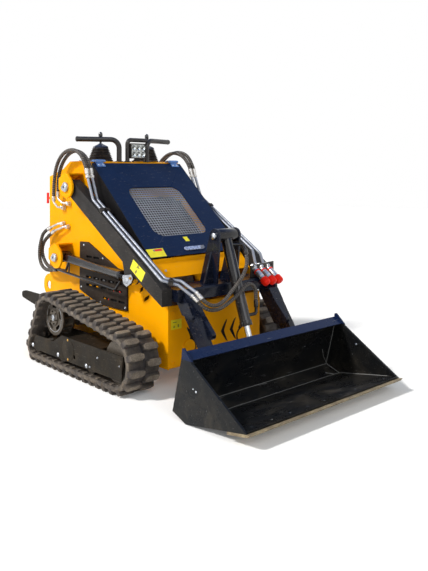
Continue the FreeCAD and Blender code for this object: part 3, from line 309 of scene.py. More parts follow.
M = {
    "yellow": paint("yellow_paint", (250, 168, 0), 0.4, 0.0, 0.92, 0.16, 0.4, (176, 112, 20), specular=0.06),
    "navy": paint("navy_paint", (12, 32, 66), 0.34, 0.02, 0.85, 0.08, 0.3, (60, 76, 106), specular=0.1),
    # The hood's side flanges, past 0.3088 m from the middle, carry painted shade in black.
    "hood": paint("hood_paint", (12, 32, 64), 0.34, 0.02, 0.85, 0.08, 0.3, (60, 76, 106), specular=0.1,
                  painted_shade_beyond=0.3088),
    "arm": paint("arm_paint", (46, 44, 43), 0.42, 0.0, 0.75, 0.34, 1.2, (100, 92, 82), specular=0.12),
    # The blue in the boom's black paint is a painted reflection of the sky seen on its front and inner faces.
    "boom": paint("boom_paint", (12, 19, 36), 0.2, 0.12, 0.7, 0.24, 0.5, (92, 84, 74), specular=0.22),
    "frame": paint("frame_paint", (36, 33, 29), 0.46, 0.0, 0.7, 0.38, 0.5, (88, 76, 60), specular=0.08),
    "grille": paint("grille_paint", (50, 42, 37), 0.42, 0.0, 0.7, 0.36, 1.0, (96, 85, 72), specular=0.12),
    "barrel": paint("barrel_paint", (16, 16, 20), 0.12, 0.3, 0.75, 0.2, 1.0, (106, 92, 74), specular=0.3),
    "bucket": bucket_skin(),
    "edge": worn_edge(),
    "rubber": rubber(),
    "hose": hose_skin(),
    "wheel": metal("wheel_metal", (92, 84, 74), 0.5, 0.45, (70, 56, 42), 0.7),
    "zinc": metal("zinc_plate", (196, 200, 206), 0.3, 0.95, bumps=0.04),
    "pipe": metal("galvanised_pipe", (152, 155, 162), 0.5, 0.6, (120, 114, 106), 0.14, peak=0.8, bumps=0.03),
    "ferrule": metal("ferrule_metal", (216, 212, 205), 0.32, 0.9, (120, 105, 85), 0.4, peak=0.8),
    "chrome": metal("rod_chrome", (222, 225, 230), 0.1, 1.0, (90, 84, 76), 0.12),
    "brass": metal("brass_plug", (206, 160, 82), 0.3, 1.0, (120, 80, 40), 0.4),
    "cast": metal("cast_engine", (150, 150, 152), 0.45, 0.8, (70, 64, 58), 0.6),
    "blue": paint("hinge_blue", (88, 128, 190), 0.34, 0.3, 0.8, 0.3, 1.5, (170, 170, 175)),
    "black": moulded("black_rubber", (36, 32, 30), 0.5, 0.25),
    "tube": paint("tube_black", (40, 37, 35), 0.3, 0.1, 0.75, 0.36, 1.5, (120, 110, 96), specular=0.35),
    "red": moulded("red_plastic", (255, 36, 14), 0.42, 0.2, 0.03),
    # Painted shade: near-black for cut-outs, slots and shadows, where only shade is seen.
    "painted_shade": moulded("painted_shade_dark", (10, 9, 9), 0.9, 0.2, 0.05),
    "lemon": sticker_skin("sticker_yellow", (242, 228, 20)),
    "lime": sticker_skin("sticker_lime", (240, 216, 14)),
    "scarlet": sticker_skin("sticker_red", (226, 40, 30)),
    "olive": sticker_skin("sticker_mark", (140, 132, 30)),
    "weave": paint("mesh_wire", (160, 164, 174), 0.4, 0.1, 0.6, 0.1, 0.3, specular=0.4),
    "shroud": metal("engine_shroud", (214, 216, 220), 0.5, 0.2, (104, 100, 96), 0.6, peak=0.6),
    "cooler": moulded("cooler_core", (22, 24, 30), 0.6, 0.2, 0.25),
    "latch": metal("latch_plate", (186, 194, 212), 0.3, 0.7, (120, 116, 110), 0.08, peak=0.92, bumps=0.01),
    "boot": paint("joystick_cap", (14, 26, 52), 0.26, 0.1, 0.8, 0.08, 0.3),
    "gloss": paint("knob_gloss", (14, 15, 18), 0.12, 0.8, 0.8, 0.03, 0.3),
    "mirror": metal("lamp_reflector", (214, 214, 210), 0.2, 0.95, (120, 112, 96), 0.3, peak=0.7),
    "led": moulded("lamp_chip", (52, 50, 40), 0.3, 0.5, 0.1),
    "clear": glass("lamp_lens"),
    "weld": moulded("weld_bead", (116, 116, 114), 0.55, 0.4, 0.3),
    "step": metal("tread_steel", (88, 84, 80), 0.46, 0.6, (96, 80, 62), 0.6, peak=0.7),
}


# ---- mesh helpers (millimetres)
def finish(name, bm, look, body, smooth=32, bevel=0.0, segments=2, replaces=None):
    """Turn a bmesh in millimetres into a piece that rides on a body, and empty the bmesh for the next piece."""
    bmesh.ops.remove_doubles(bm, verts=bm.verts, dist=0.002)
    bmesh.ops.recalc_face_normals(bm, faces=bm.faces)
    bmesh.ops.scale(bm, vec=(MM, MM, MM), verts=bm.verts)
    mesh = bpy.data.meshes.new(name)
    bm.to_mesh(mesh)
    bm.clear()
    piece = add_object(name, mesh)
    mesh.materials.append(M[look])
    for face in mesh.polygons:
        face.use_smooth = True
    mesh.set_sharp_from_angle(angle=radians(smooth))
    if bevel:
        soften(piece, bevel, segments)
    if body:
        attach(piece, body)
    if replaces:
        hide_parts(replaces)
    return piece


def soften(piece, width, segments=2):
    bevel = piece.modifiers.new("edges", "BEVEL")
    bevel.width = width * MM
    bevel.segments = segments
    bevel.limit_method = "ANGLE"
    bevel.angle_limit = radians(32)
    bevel.use_clamp_overlap = True
    bevel.harden_normals = True


def box(bm, low, high):
    corners = [bm.verts.new((x, y, z)) for x in (low[0], high[0]) for y in (low[1], high[1])
               for z in (low[2], high[2])]
    for loop in ((0, 1, 3, 2), (4, 6, 7, 5), (0, 4, 5, 1), (2, 3, 7, 6), (0, 2, 6, 4), (1, 5, 7, 3)):
        bm.faces.new([corners[i] for i in loop])


def around(count):
    return [(i, (i + 1) % count) for i in range(count)]


def bridge(bm, a, b):
    """Join two matching loops of vertices."""
    for i, j in around(len(a)):
        bm.faces.new((a[i], a[j], b[j], b[i]))


def solid(bm, lower, upper):
    """Close two matching outlines into a solid, and give its upper vertices."""
    a = [bm.verts.new(p) for p in lower]
    b = [bm.verts.new(p) for p in upper]
    bm.faces.new(a[::-1])
    bm.faces.new(b)
    bridge(bm, a, b)
    return b


def block(bm, middle, along, aside, up, half, wide, low, high):
    """Box about a middle point, with its three directions given."""
    loops = [[middle + along * step + aside * across + up * lift
              for across, lift in ((-wide, low), (wide, low), (wide, high), (-wide, high))] for step in (-half, half)]
    solid(bm, *loops)


def slab(bm, outline, x0, x1):
    """Extrude a (y, z) outline between two x."""
    solid(bm, [(x0, y, z) for y, z in outline], [(x1, y, z) for y, z in outline])


def basis(direction):
    d = Vector(direction).normalized()
    side = d.cross(Vector((0, 0, 1)))
    if side.length < 1e-3:
        side = d.cross(Vector((1, 0, 0)))
    side.normalize()
    return d, side, side.cross(d)


def circle(bm, centre, u, v, radius, count, turn=0.0):
    return [bm.verts.new(centre + (u * cos(a) + v * sin(a)) * radius)
            for a in (turn + 2 * pi * i / count for i in range(count))]


def lathe(bm, start, direction, profile, count=32, turn=0.0):
    """Turn a (distance, radius) profile about a line, closed at its ends."""
    start = Vector(start)
    d, u, v = basis(direction)
    rings = []
    for along, radius in profile:
        centre = start + d * along
        rings.append([bm.verts.new(centre)] if radius < 1e-6 else circle(bm, centre, u, v, radius, count, turn))
    for a, b in zip(rings, rings[1:]):
        if len(a) == len(b):
            if len(a) > 1:
                bridge(bm, a, b)
            continue
        for i, j in around(count):
            bm.faces.new((a[0], b[j], b[i]) if len(a) == 1 else (a[i], a[j], b[0]))
    for end in (rings[0], rings[-1]):
        if len(end) > 1:
            bm.faces.new(end)


def bolt(bm, at, direction, size=9, washer=True):
    """Hexagon bolt head on a washer, standing on a face."""
    if washer:
        lathe(bm, at, direction, [(0, size * 1.05), (1.6, size * 1.05), (2.0, size * 0.98)], 24)
    lathe(bm, Vector(at) + Vector(direction).normalized() * 1.8, direction,
          [(0, size * 0.8), (size * 0.55, size * 0.8), (size * 0.68, size * 0.66)], 6)


def dome(bm, at, direction, radius, height):
    """Round-headed bolt on a stepped washer."""
    profile = [(0, radius), (height * 0.22, radius), (height * 0.28, radius * 0.78)]
    profile += [(height * (0.28 + 0.72 * sin(a)), radius * 0.72 * cos(a))
                for a in (0.1, 0.5, 0.9, 1.25)] + [(height, 0)]
    lathe(bm, at, direction, profile, 28)


def sweep(bm, points, radius, count=14, layer=None, guard=None):
    """Run a round tube along points; a guard is (pitch, height) of a spiral rib."""
    points = [Vector(p) for p in points]
    total = 0.0
    d, u, v = basis(points[1] - points[0])
    rings = []
    for i, p in enumerate(points):
        ahead = points[min(i + 1, len(points) - 1)] - points[max(i - 1, 0)]
        ahead.normalize()
        turn = d.rotation_difference(ahead)
        u = turn @ u
        v = turn @ v
        d = ahead
        if i:
            total += (p - points[i - 1]).length
        ring = []
        for k in range(count):
            a = 2 * pi * k / count
            r = radius
            crest = 0.0
            if guard:
                crest = max(0.0, cos(2 * pi * total / guard[0] - a)) ** 0.6
                r = radius - guard[1] * (1 - crest)
            vert = bm.verts.new(p + (u * cos(a) + v * sin(a)) * r)
            if layer:
                vert[layer] = crest
            ring.append(vert)
        rings.append(ring)
    for a, b in zip(rings, rings[1:]):
        bridge(bm, a, b)
    bm.faces.new(rings[0][::-1])
    bm.faces.new(rings[-1])


def spline_points(route):
    """Give points along the NURBS spline whose control points are the route's."""
    curve = bpy.data.curves.new("route", "CURVE")
    curve.dimensions = "3D"
    curve.resolution_u = 24
    spline = curve.splines.new("NURBS")
    spline.points.add(len(route) - 1)
    for point, place in zip(spline.points, route):
        point.co = (*place, 1.0)
    spline.order_u = 3
    spline.use_endpoint_u = True
    holder = add_object("route", curve)
    mesh = bpy.data.meshes.new_from_object(holder)
    points = [v.co.copy() for v in mesh.vertices]
    bpy.data.objects.remove(holder)
    bpy.data.curves.remove(curve)
    bpy.data.meshes.remove(mesh)
    return points


def even(points, step):
    """Space points evenly along a line."""
    lengths = [0.0]
    for a, b in zip(points, points[1:]):
        lengths.append(lengths[-1] + (b - a).length)
    count = max(2, round(lengths[-1] / step))
    placed, k = [], 0
    for i in range(count + 1):
        want = lengths[-1] * i / count
        while k < len(points) - 2 and lengths[k + 1] < want:
            k += 1
        span = max(lengths[k + 1] - lengths[k], 1e-9)
        placed.append(points[k].lerp(points[k + 1], min(1.0, (want - lengths[k]) / span)))
    return placed


def flipped(route, sign):
    return [(x * sign, y, z) for x, y, z in route]


# ---- hoses
LIFT_HOSES = {
    "a": [(-0.364, 0.612, 0.906), (-0.368, 0.604, 0.985), (-0.376, 0.562, 1.082), (-0.379, 0.490, 1.148),
          (-0.380, 0.400, 1.172), (-0.380, 0.310, 1.158), (-0.380, 0.256, 1.110), (-0.380, 0.2344, 1.064)],
    "b": [(-0.350, 0.588, 0.933), (-0.350, 0.588, 1.000), (-0.350, 0.556, 1.078), (-0.350, 0.492, 1.138),
          (-0.351, 0.405, 1.168), (-0.352, 0.315, 1.150), (-0.352, 0.255, 1.104), (-0.352, 0.2334, 1.064)],
}
CYLINDER_HOSES = {
    "a": [(-0.356, 0.695, 0.7075), (-0.364, 0.7365, 0.689), (-0.372, 0.757, 0.625), (-0.372, 0.773, 0.562),
          (-0.372, 0.757, 0.505), (-0.372, 0.712, 0.473), (-0.372, 0.648, 0.470), (-0.372, 0.592, 0.4799)],
    "b": [(-0.350, 0.656, 0.6875), (-0.350, 0.712, 0.660), (-0.350, 0.758, 0.625), (-0.350, 0.780, 0.580),
          (-0.350, 0.762, 0.528), (-0.350, 0.712, 0.490), (-0.349, 0.655, 0.479), (-0.348, 0.605, 0.4799)],
}
TILT_HOSES = {
    "a": [(-0.2713, -0.5613, 0.4457), (-0.255, -0.586, 0.416), (-0.215, -0.597, 0.404), (-0.165, -0.598, 0.406),
          (-0.100, -0.597, 0.432), (-0.045, -0.596, 0.460), (0.004, -0.595, 0.497), (0.030, -0.594, 0.5015),
          (0.055, -0.593, 0.492), (0.072, -0.592, 0.471), (0.077, -0.592, 0.448), (0.077, -0.592, 0.415)],
    "b": [(-0.2695, -0.587, 0.461), (-0.252, -0.606, 0.438), (-0.212, -0.614, 0.426), (-0.150, -0.606, 0.440),
          (-0.085, -0.590, 0.478), (-0.022, -0.588, 0.527), (0.026, -0.575, 0.575), (0.051, -0.557, 0.607),
          (0.0606, -0.541, 0.633)],
}


def make_hose(name, route, radius, node, pitch=12.0):
    """Spiral-guarded hose that runs between two bodies."""
    line = spline_points(route)
    path = even(line, 0.0018)
    bm = bmesh.new()
    layer = bm.verts.layers.float.new("wear_and_sheen")
    sweep(bm, [p * 1000 for p in path], radius, 16, layer, (pitch, radius * 0.1))
    hose = finish(name, bm, "hose", None, 60, replaces=node)
    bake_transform(hose)


def make_hoses():
    for side, sign in (("right", 1), ("left", -1)):
        for key, route in LIFT_HOSES.items():
            route = flipped(route, sign)
            make_hose(f"lift_hose_{side}_{key}", route, 10.9, "lift_hoses")
        for key, route in CYLINDER_HOSES.items():
            route = flipped(route, sign)
            make_hose(f"cylinder_hose_{side}_{key}", route, 10.6,
                      "cylinder_hoses")
    for key, route in TILT_HOSES.items():
        make_hose(f"tilt_hose_{key}", route, 9.3, "tilt_hoses", 11.0)


make_hoses()


# ---- tracks
WHEELS = [(-263.7, 150.0, 106.0), (525.0, 82.3, 38.3), (376.0, 257.0, 98.54)]
CORD = 6.5
LINKS = 37
PITCH = 60.0


def belt_runs():
    """List the arcs and straight runs of the track's inner face, as the CAD frame has them."""
    normals = []
    for i in range(3):
        y0, z0, r0 = WHEELS[i]
        y1, z1, r1 = WHEELS[(i + 1) % 3]
        along = Vector((y1 - y0, z1 - z0))
        reach = along.length
        along /= reach
        right = Vector((along.y, -along.x))
        sine = (r0 - r1) / reach
        normals.append(right * sqrt(1 - sine * sine) + along * sine)
    runs = []
    for i in range(3):
        y, z, r = WHEELS[i]
        y1, z1, r1 = WHEELS[(i + 1) % 3]
        turn = normals[i - 1].angle(normals[i])
        runs.append(("arc", (r + CORD) * turn, Vector((y, z)), normals[i - 1], r))
        start = Vector((y, z)) + normals[i] * r
        end = Vector((y1, z1)) + normals[i] * r1
        runs.append(("line", (end - start).length, start, normals[i], end))
    return runs


RUNS = belt_runs()
BELT = sum(run[1] for run in RUNS)
STEP = BELT / LINKS


def belt_at(distance):
    distance %= BELT
    for kind, length, origin, normal, extra in RUNS:
        if distance <= length:
            break
        distance -= length
    if kind == "line":
        return origin + (extra - origin) * (distance / length), normal
    angle = distance / (extra + CORD)
    turned = Vector((normal.x * cos(angle) - normal.y * sin(angle),
                     normal.x * sin(angle) + normal.y * cos(angle)))
    return origin + turned * extra, turned


def belt_point(distance, offset, shift, across, sign):
    """Give a point on the belt: along it, above its inner face, shifted on the tangent, and across it."""
    point, normal = belt_at(distance)
    tangent = Vector((-normal.y, normal.x))
    point = point + normal * offset + tangent * shift
    return (sign * (TRACK_X + across), point.x, point.y)


# Outlines (across, along) of a lug's foot and top, its drop inside the belt, and its wear.
INNER_LUGS = (
    ([(8, -14), (21, -15), (21, 15), (8, 14)], [(9.6, -6.3), (17.4, -6.75), (17.4, 6.75), (9.6, 6.3)], -21.5, 0.7),
    ([(62, -13), (87, -13), (87, 13), (62, 13)], [(64, -8), (85, -8), (85, 8), (64, 8)], -6.5, 0.6))
# Height, length behind and ahead, inset at the edge, and wear, from the foot of an outer lug to its top.
LUG_LEVELS = ((12.0, 20.0, 20.0, 0.0, 0.3), (24.5, 19.0, 18.5, 0.5, 0.05), (41.0, 17.2, 16.8, 6.0, 0.4),
              (43.4, 15.8, 15.4, 9.0, 1.0))


def make_track(side, sign):
    """Belt with staggered lugs outside and drive lugs inside; its wear layer marks what is dusty."""
    bm = bmesh.new()
    wear_and_sheen = bm.verts.layers.float.new("wear_and_sheen")
    section = [(-88, 0, .25), (88, 0, .25), (90, 3, .4), (90, 17, .75), (87, 23, .5), (60, 24, .2), (7, 24, .1),
               (3.5, 19.5, 0), (-3.5, 19.5, 0), (-7, 24, .1), (-60, 24, .2), (-87, 23, .5), (-90, 17, .75),
               (-90, 3, .4)]
    rings = []
    count = LINKS * 6
    for i in range(count):
        distance = BELT * i / count
        ring = []
        for across, offset, amount in section:
            vert = bm.verts.new(belt_point(distance, offset, 0, across, sign))
            vert[wear_and_sheen] = amount
            ring.append(vert)
        rings.append(ring)
    for i, j in around(count):
        bridge(bm, rings[i], rings[j])
    for link in range(LINKS):
        for phase, inner, outer in ((0.0, 5.0, 90.4), (0.5, -5.0, -90.4)):
            centre = (link + phase) * STEP
            toward = 1 if outer > 0 else -1
            wob = [random.uniform(-1.0, 1.0) for _ in range(6)]
            layers = []
            for height, back, front, inset, amount in LUG_LEVELS:
                loop = []
                neck = 6.0 if height < 40 else 7.5
                near = inset * 0.25
                outline = [(inner + toward * near, -back + neck), (inner + toward * (near + 16), -back),
                           (outer - toward * (inset + 13), -back), (outer - toward * inset, -back + 5 + wob[0]),
                           (outer - toward * inset, front - 5 + wob[1]), (outer - toward * (inset + 13), front),
                           (inner + toward * (near + 16), front), (inner + toward * near, front - neck)]
                for across, shift in outline:
                    vert = bm.verts.new(belt_point(centre, height, shift, across, sign))
                    vert[wear_and_sheen] = amount
                    loop.append(vert)
                layers.append(loop)
            for a, b in zip(layers, layers[1:]):
                bridge(bm, a, b)
            top = layers[-1]
            for k in range(3):
                bm.faces.new((top[k], top[k + 1], top[6 - k], top[7 - k]))
            bm.faces.new(layers[0][::-1])
        for foot, top, drop, amount in INNER_LUGS:
            for toward in (-1, 1):
                lower, upper = [[belt_point(link * STEP, offset, shift, toward * across, sign)
                                 for across, shift in outline] for offset, outline in ((1.0, foot), (drop, top))]
                for vert in solid(bm, lower, upper):
                    vert[wear_and_sheen] = amount
    finish(f"track_tread_{side}", bm, "rubber", "root", 28, replaces=f"track_{side}")


make_track("right", -1)
make_track("left", 1)


# ---- carried-over nodes
def carry(node, look, bevel=0.0):
    """Give a CAD node its material and soften its edges."""
    piece = nodes[node]
    piece.data.materials.clear()
    piece.data.materials.append(M[look])
    if bevel:
        weld = piece.modifiers.new("weld", "WELD")
        weld.merge_threshold = 0.00001
        soften(piece, bevel)


for side, _ in SIDES:
    carry(f"track_frame_{side}", "frame", 1.2)
    carry(f"side_plate_{side}", "yellow", 0.9)
    carry(f"arm_{side}", "arm", 1.6)
    carry(f"lift_barrel_{side}", "barrel", 0.8)
    carry(f"lift_rod_{side}", "chrome")
for node, look, bevel in (
        ("sprockets", "wheel", 0.8), ("front_idlers", "wheel", 1.0), ("rollers", "wheel", 0.8),
        ("belly_pan", "yellow", 0.8), ("front_panel", "yellow", 0.6), ("nose_panel", "yellow", 0.6),
        ("rear_panel", "yellow", 0.8), ("control_deck", "yellow", 0.8), ("grilles", "grille", 0.8),
        ("cross_beam", "boom", 2.0), ("boom_legs", "boom", 1.6), ("tilt_tower", "boom", 1.4),
        ("arm_pins", "zinc", 0.8), ("tilt_barrel", "barrel", 0.8), ("tilt_rod", "chrome", 0.0),
        ("quick_attach", "boom", 1.4), ("bucket_shell", "bucket", 1.4), ("cutting_edge", "edge", 1.2),
        ("hood_panel", "hood", 0.8), ("platform", "frame", 1.2), ("body_pins", "zinc", 0.8)):
    carry(node, look, bevel)


# ---- shared detail helpers
SLOPE_RUN = (0.7467, 0.6652)


def slope(x, up, lift=0.0):
    """Give a point on the hood: x across, distance up its face, height above the face."""
    return (x, -247 + SLOPE_RUN[0] * up - SLOPE_RUN[1] * lift, 621 + SLOPE_RUN[1] * up + SLOPE_RUN[0] * lift)


HOOD_OUT = Vector(slope(0, 0, 1)) - Vector(slope(0, 0, 0))


def hood_slab(bm, outline, low, high):
    solid(bm, [slope(x, up, low) for x, up in outline], [slope(x, up, high) for x, up in outline])


def capsule(x0, x1, middle, radius, count=10):
    """Outline of a slot-shaped plate that lies along x."""
    turns = [pi * i / count for i in range(count + 1)]
    return [(x0 + radius - radius * sin(a), middle + radius * cos(a)) for a in turns] + [
        (x1 - radius + radius * sin(a), middle - radius * cos(a)) for a in turns]


def bent_line(points, bend, steps=8):
    """Line of a rigid bent steel tube: straight runs with an arc at each corner."""
    points = [Vector(p) for p in points]
    line = [points[0]]
    for before, corner, after in zip(points, points[1:], points[2:]):
        a = (before - corner).normalized()
        b = (after - corner).normalized()
        half = a.angle(b) / 2
        reach = min(bend / tan(half), (before - corner).length * 0.49, (after - corner).length * 0.49)
        radius = reach * tan(half)
        centre = corner + (a + b).normalized() * (radius / sin(half))
        start = corner + a * reach - centre
        end = corner + b * reach - centre
        for i in range(steps + 1):
            line.append(centre + start.slerp(end, i / steps, start).normalized() * radius)
    line.append(points[-1])
    return line


def ring(bm, start, direction, length, outer, inner, count=28):
    """Tube with an open bore."""
    d, u, v = basis(direction)
    loops = [circle(bm, Vector(start) + d * along, u, v, radius, count)
             for along, radius in ((0, inner), (0, outer), (length, outer), (length, inner))]
    for i, j in around(4):
        bridge(bm, loops[i], loops[j])


def crimp(bm, start, direction, length=34, radius=12.2):
    """Crimped hose ferrule with pressed rings and a swivel nut."""
    profile = [(0, radius - 1.6), (1.2, radius)]
    grooves = 4
    for i in range(grooves):
        at = 4 + (length * 0.62 - 4) * i / (grooves - 1)
        profile += [(at, radius), (at + 0.8, radius - 1.3), (at + 2.2, radius - 1.3), (at + 3.0, radius)]
    profile += [(length * 0.78, radius), (length * 0.84, radius - 3), (length, radius - 3)]
    lathe(bm, start, direction, profile, 24)


def hexagon(bm, start, direction, length, size):
    ends = size * 0.93
    lathe(bm, start, direction, [(0, ends), (length * 0.1, size), (length * 0.9, size), (length, ends)], 6)


def decal(name, look, body, corners, out, thick=0.7):
    """Thin plate on a face: its corners on the face, and the direction that it faces."""
    out = Vector(out).normalized()
    bm = bmesh.new()
    base = [Vector(p) for p in corners]
    solid(bm, base, [p + out * thick for p in base])
    return finish(name, bm, look, body, 20, 0.25, 1)


def pair_of(build):
    """Run a builder once for each side: the machine's right is at negative x."""
    for side, sign in SIDES:
        build(side, sign)


# ---- steel pipes on the arms
ARM_SLOPE = 0.6054


def pipe_z(y):
    return 732.9 + ARM_SLOPE * (y + 107)


ARM_PIPES = {
    "right": {380: [(-380, -425, pipe_z(-425)), (-322, -474, 519), (-285, -535, 470), (-272, -560, 447)],
              352: [(-352, -418, pipe_z(-418)), (-306, -476, 536), (-285, -556, 494), (-270, -586, 462)]},
    "left": {380: [(380, -330, pipe_z(-330)), (307, -425, 556), (307, -446, 546.7)],
             352: [(352, -300, pipe_z(-300)), (255, -415, 562), (255, -446, 546.9)]},
}


def make_arm_pipes(side, sign):
    """Bent steel pipes along the arm, with their crimped ends and clamps."""
    node = f"arm_pipes_{side}"
    tubes, ends, clamps = bmesh.new(), bmesh.new(), bmesh.new()
    for x, front in ARM_PIPES[side].items():
        top = [(sign * x, 231, 1057), (sign * x, 215, 1010), (sign * x, 165, pipe_z(165))]
        sweep(tubes, bent_line(top + front, 22), 7.5, 16)
        head, down = Vector((sign * x, 233.4, 1064)), -Vector((0, 11, 34)).normalized()
        crimp(ends, head, down, 38, 11.6)
        hexagon(ends, head + down * 40, down, 13, 12.5)
        if side == "right":
            last, before = Vector(front[-1]), Vector(front[-2])
            back = (before - last).normalized()
            crimp(ends, last, back, 34, 10.8)
            hexagon(ends, last + back * 34, back, 10, 11)
    middle = Vector((sign * 365, 78, pipe_z(78)))
    along = Vector((0, 1, ARM_SLOPE)).normalized()
    up = Vector((0, -ARM_SLOPE, 1)).normalized()
    for low, high, half in ((-8.5, 7.5, 13), (7.5, 10.5, 10)):
        block(clamps, middle, along, Vector((sign, 0, 0)), up, half, 28, low, high)
    bolt(clamps, Vector((sign * 366, 78, pipe_z(78))) + up * 10.5, up, 7, False)
    if side == "right":
        middle = Vector((-344, -448, 533))
        along = Vector((0.72, -0.6, -0.2)).normalized()
        up = Vector((0.1, -0.25, 1)).normalized()
        aside = along.cross(up).normalized()
        for low, high, half in ((-11, 11, 12), (11, 14, 9)):
            block(clamps, middle, along, aside, up, half, 27, low, high)
        bolt(clamps, middle + up * 14, up, 7, False)
    finish(f"{node}_tubes", tubes, "pipe", "lift_arms", 40, replaces=node)
    finish(f"{node}_ends", ends, "ferrule", "lift_arms", 30, 0.4, 1, replaces=node)
    finish(f"{node}_clamps", clamps, "black", "lift_arms", 30, 0.9, 2, replaces=node)


pair_of(make_arm_pipes)


# ---- hood
def make_hood_mesh():
    """Woven wire in a frame, in the place of the plain sheet."""
    bm = bmesh.new()
    pitch, thick = 17.0, 2.0
    count = int(392 / pitch)
    for across in (True, False):
        for i in range(count + 1):
            line = []
            for k in range(count * 2 + 1):
                swing = (1.4 if ((i + k // 2) % 2 == 1) == across else -1.4) * (k % 2 == 0)
                place = (i * pitch, k * pitch / 2) if across else (k * pitch / 2, i * pitch)
                line.append(slope(-196 + place[0], 128 + place[1], -6.6 + swing))
            sweep(bm, line, thick, 5)
    finish("hood_mesh_weave", bm, "weave", "hood", 60, replaces="hood_mesh")
    for x0, x1, low, high in ((-206, 206, 122, 131), (-206, 206, 515, 522), (-206, -197, 131, 515),
                              (197, 206, 131, 515)):
        hood_slab(bm, [(x0, low), (x1, low), (x1, high), (x0, high)], -8.6, -4.1)
    finish("hood_mesh_frame", bm, "navy", "hood", 30, 0.6, 2, replaces="hood_mesh")


def make_hood_latch():
    """Silver latch plate with its lock."""
    bm = bmesh.new()
    hood_slab(bm, capsule(-72, 58, 36, 12, 16), 0.2, 7.0)
    finish("hood_latch", bm, "latch", "hood", 30, 2.2, 4, replaces="hood_fittings")
    lathe(bm, slope(44, 36, 7), HOOD_OUT, [(0, 9), (3.2, 9), (4.2, 8), (4.2, 5.5), (3.2, 5.2), (3.2, 0)], 28)
    hood_slab(bm, [(41.5, 35), (46.5, 35), (46.5, 37), (41.5, 37)], 10, 10.9)
    hood_slab(bm, [(60, 30), (66, 30), (66, 50), (60, 50)], 0.2, 5)
    finish("hood_latch_key", bm, "cast", "hood", 30, 0.3, 1, replaces="hood_fittings")


def make_hood_hinges(side, sign):
    """Blue leaf on the hood, with its barrel on a pin between two lugs of the body."""
    leaf, pins, lugs = bmesh.new(), bmesh.new(), bmesh.new()
    corners = [(-290, 682), (-236, 682), (-238, 717), (-286, 717)]
    if sign > 0:
        corners = [(-x, up) for x, up in corners][::-1]
    hood_slab(leaf, corners, 0.1, 3.4)
    ring(leaf, (-288 if sign < 0 else 236, *HINGE), (1, 0, 0), 52, 9, 5.7)
    finish(f"hood_hinge_leaf_{side}", leaf, "blue", "hood", 30, 0.8, 2, replaces="hood_fittings")
    for x in (-276, -248):
        dome(pins, slope(-sign * x, 695, 3.2), HOOD_OUT, 6.8, 3.8)
    finish(f"hood_hinge_rivets_{side}", pins, "zinc", "hood", 35, replaces="hood_fittings")
    for inner in (224, 292):
        outline = [(297.5, 1101.6), (320, 1103), (320, 1108), (296, 1114), (287, 1113.5), (282.4, 1108), (283.4, 1101)]
        slab(lugs, outline, sign * inner, sign * (inner + 8))
    finish(f"hood_hinge_lugs_{side}", lugs, "blue", "root", 30, 0.7, 2, replaces="hood_hinges")
    pin = bmesh.new()
    lathe(pin, (sign * 222, *HINGE), (sign, 0, 0), [(0, 5), (76, 5), (77.5, 4), (78, 0)], 20)
    finish(f"hood_hinge_pin_{side}", pin, "zinc", "root", 35, replaces="hood_hinges")


def make_stickers():
    """Blank stickers with a few generic marks: no lettering."""
    for name, look, thick, outline in (
            ("", "lemon", 0.7, [(-307, 3), (-206, 3), (-203, 58), (-309, 58)]),
            ("_red", "scarlet", 1.2, [(-258, 40), (-213, 40), (-212, 54), (-258, 54)]),
            ("_grey", "cast", 1.2, [(-268, 40), (-259, 40), (-259, 54), (-268, 54)])):
        decal("sticker_hood" + name, look, "hood", [slope(*p, 0.1) for p in outline], HOOD_OUT, thick)
    decal("sticker_small", "lemon", "hood", [slope(*p, 0.1) for p in ((-27, 89), (1, 89), (-3, 121), (-31, 121))],
          HOOD_OUT)
    decal("sticker_arm", "lemon", "lift_arms",
          [(-395.1, -221, 621), (-395.1, -319, 567), (-395.1, -287, 518), (-395.1, -193, 574)], (-1, 0, 0))
    decal("sticker_front", "lime", "root",
          [(x, FRONT_Y - 0.1, z) for x, z in ((-297, 290), (-231, 290), (-231, 337), (-297, 337))], FRONT)
    for name, points in (("a", [(-286, 322), (-262, 322), (-262, 326), (-286, 326)]),
                         ("b", [(-284, 299), (-272, 299), (-278, 312)]),
                         ("c", [(-256, 298), (-247, 298), (-247, 312), (-256, 312)])):
        decal(f"sticker_front_mark_{name}", "olive", "root", [(x, FRONT_Y - 0.7, z) for x, z in points], FRONT, 0.3)
    for name, points in (("a", [(-246, 583), (-262, 600), (-276, 578)]),
                         ("b", [(-232, 560), (-246, 574), (-254, 566), (-240, 551)])):
        decal(f"sticker_arm_mark_{name}", "olive", "lift_arms", [(-395.8, y, z) for y, z in points], (-1, 0, 0), 0.3)


make_hood_mesh()
make_hood_latch()
pair_of(make_hood_hinges)
make_stickers()


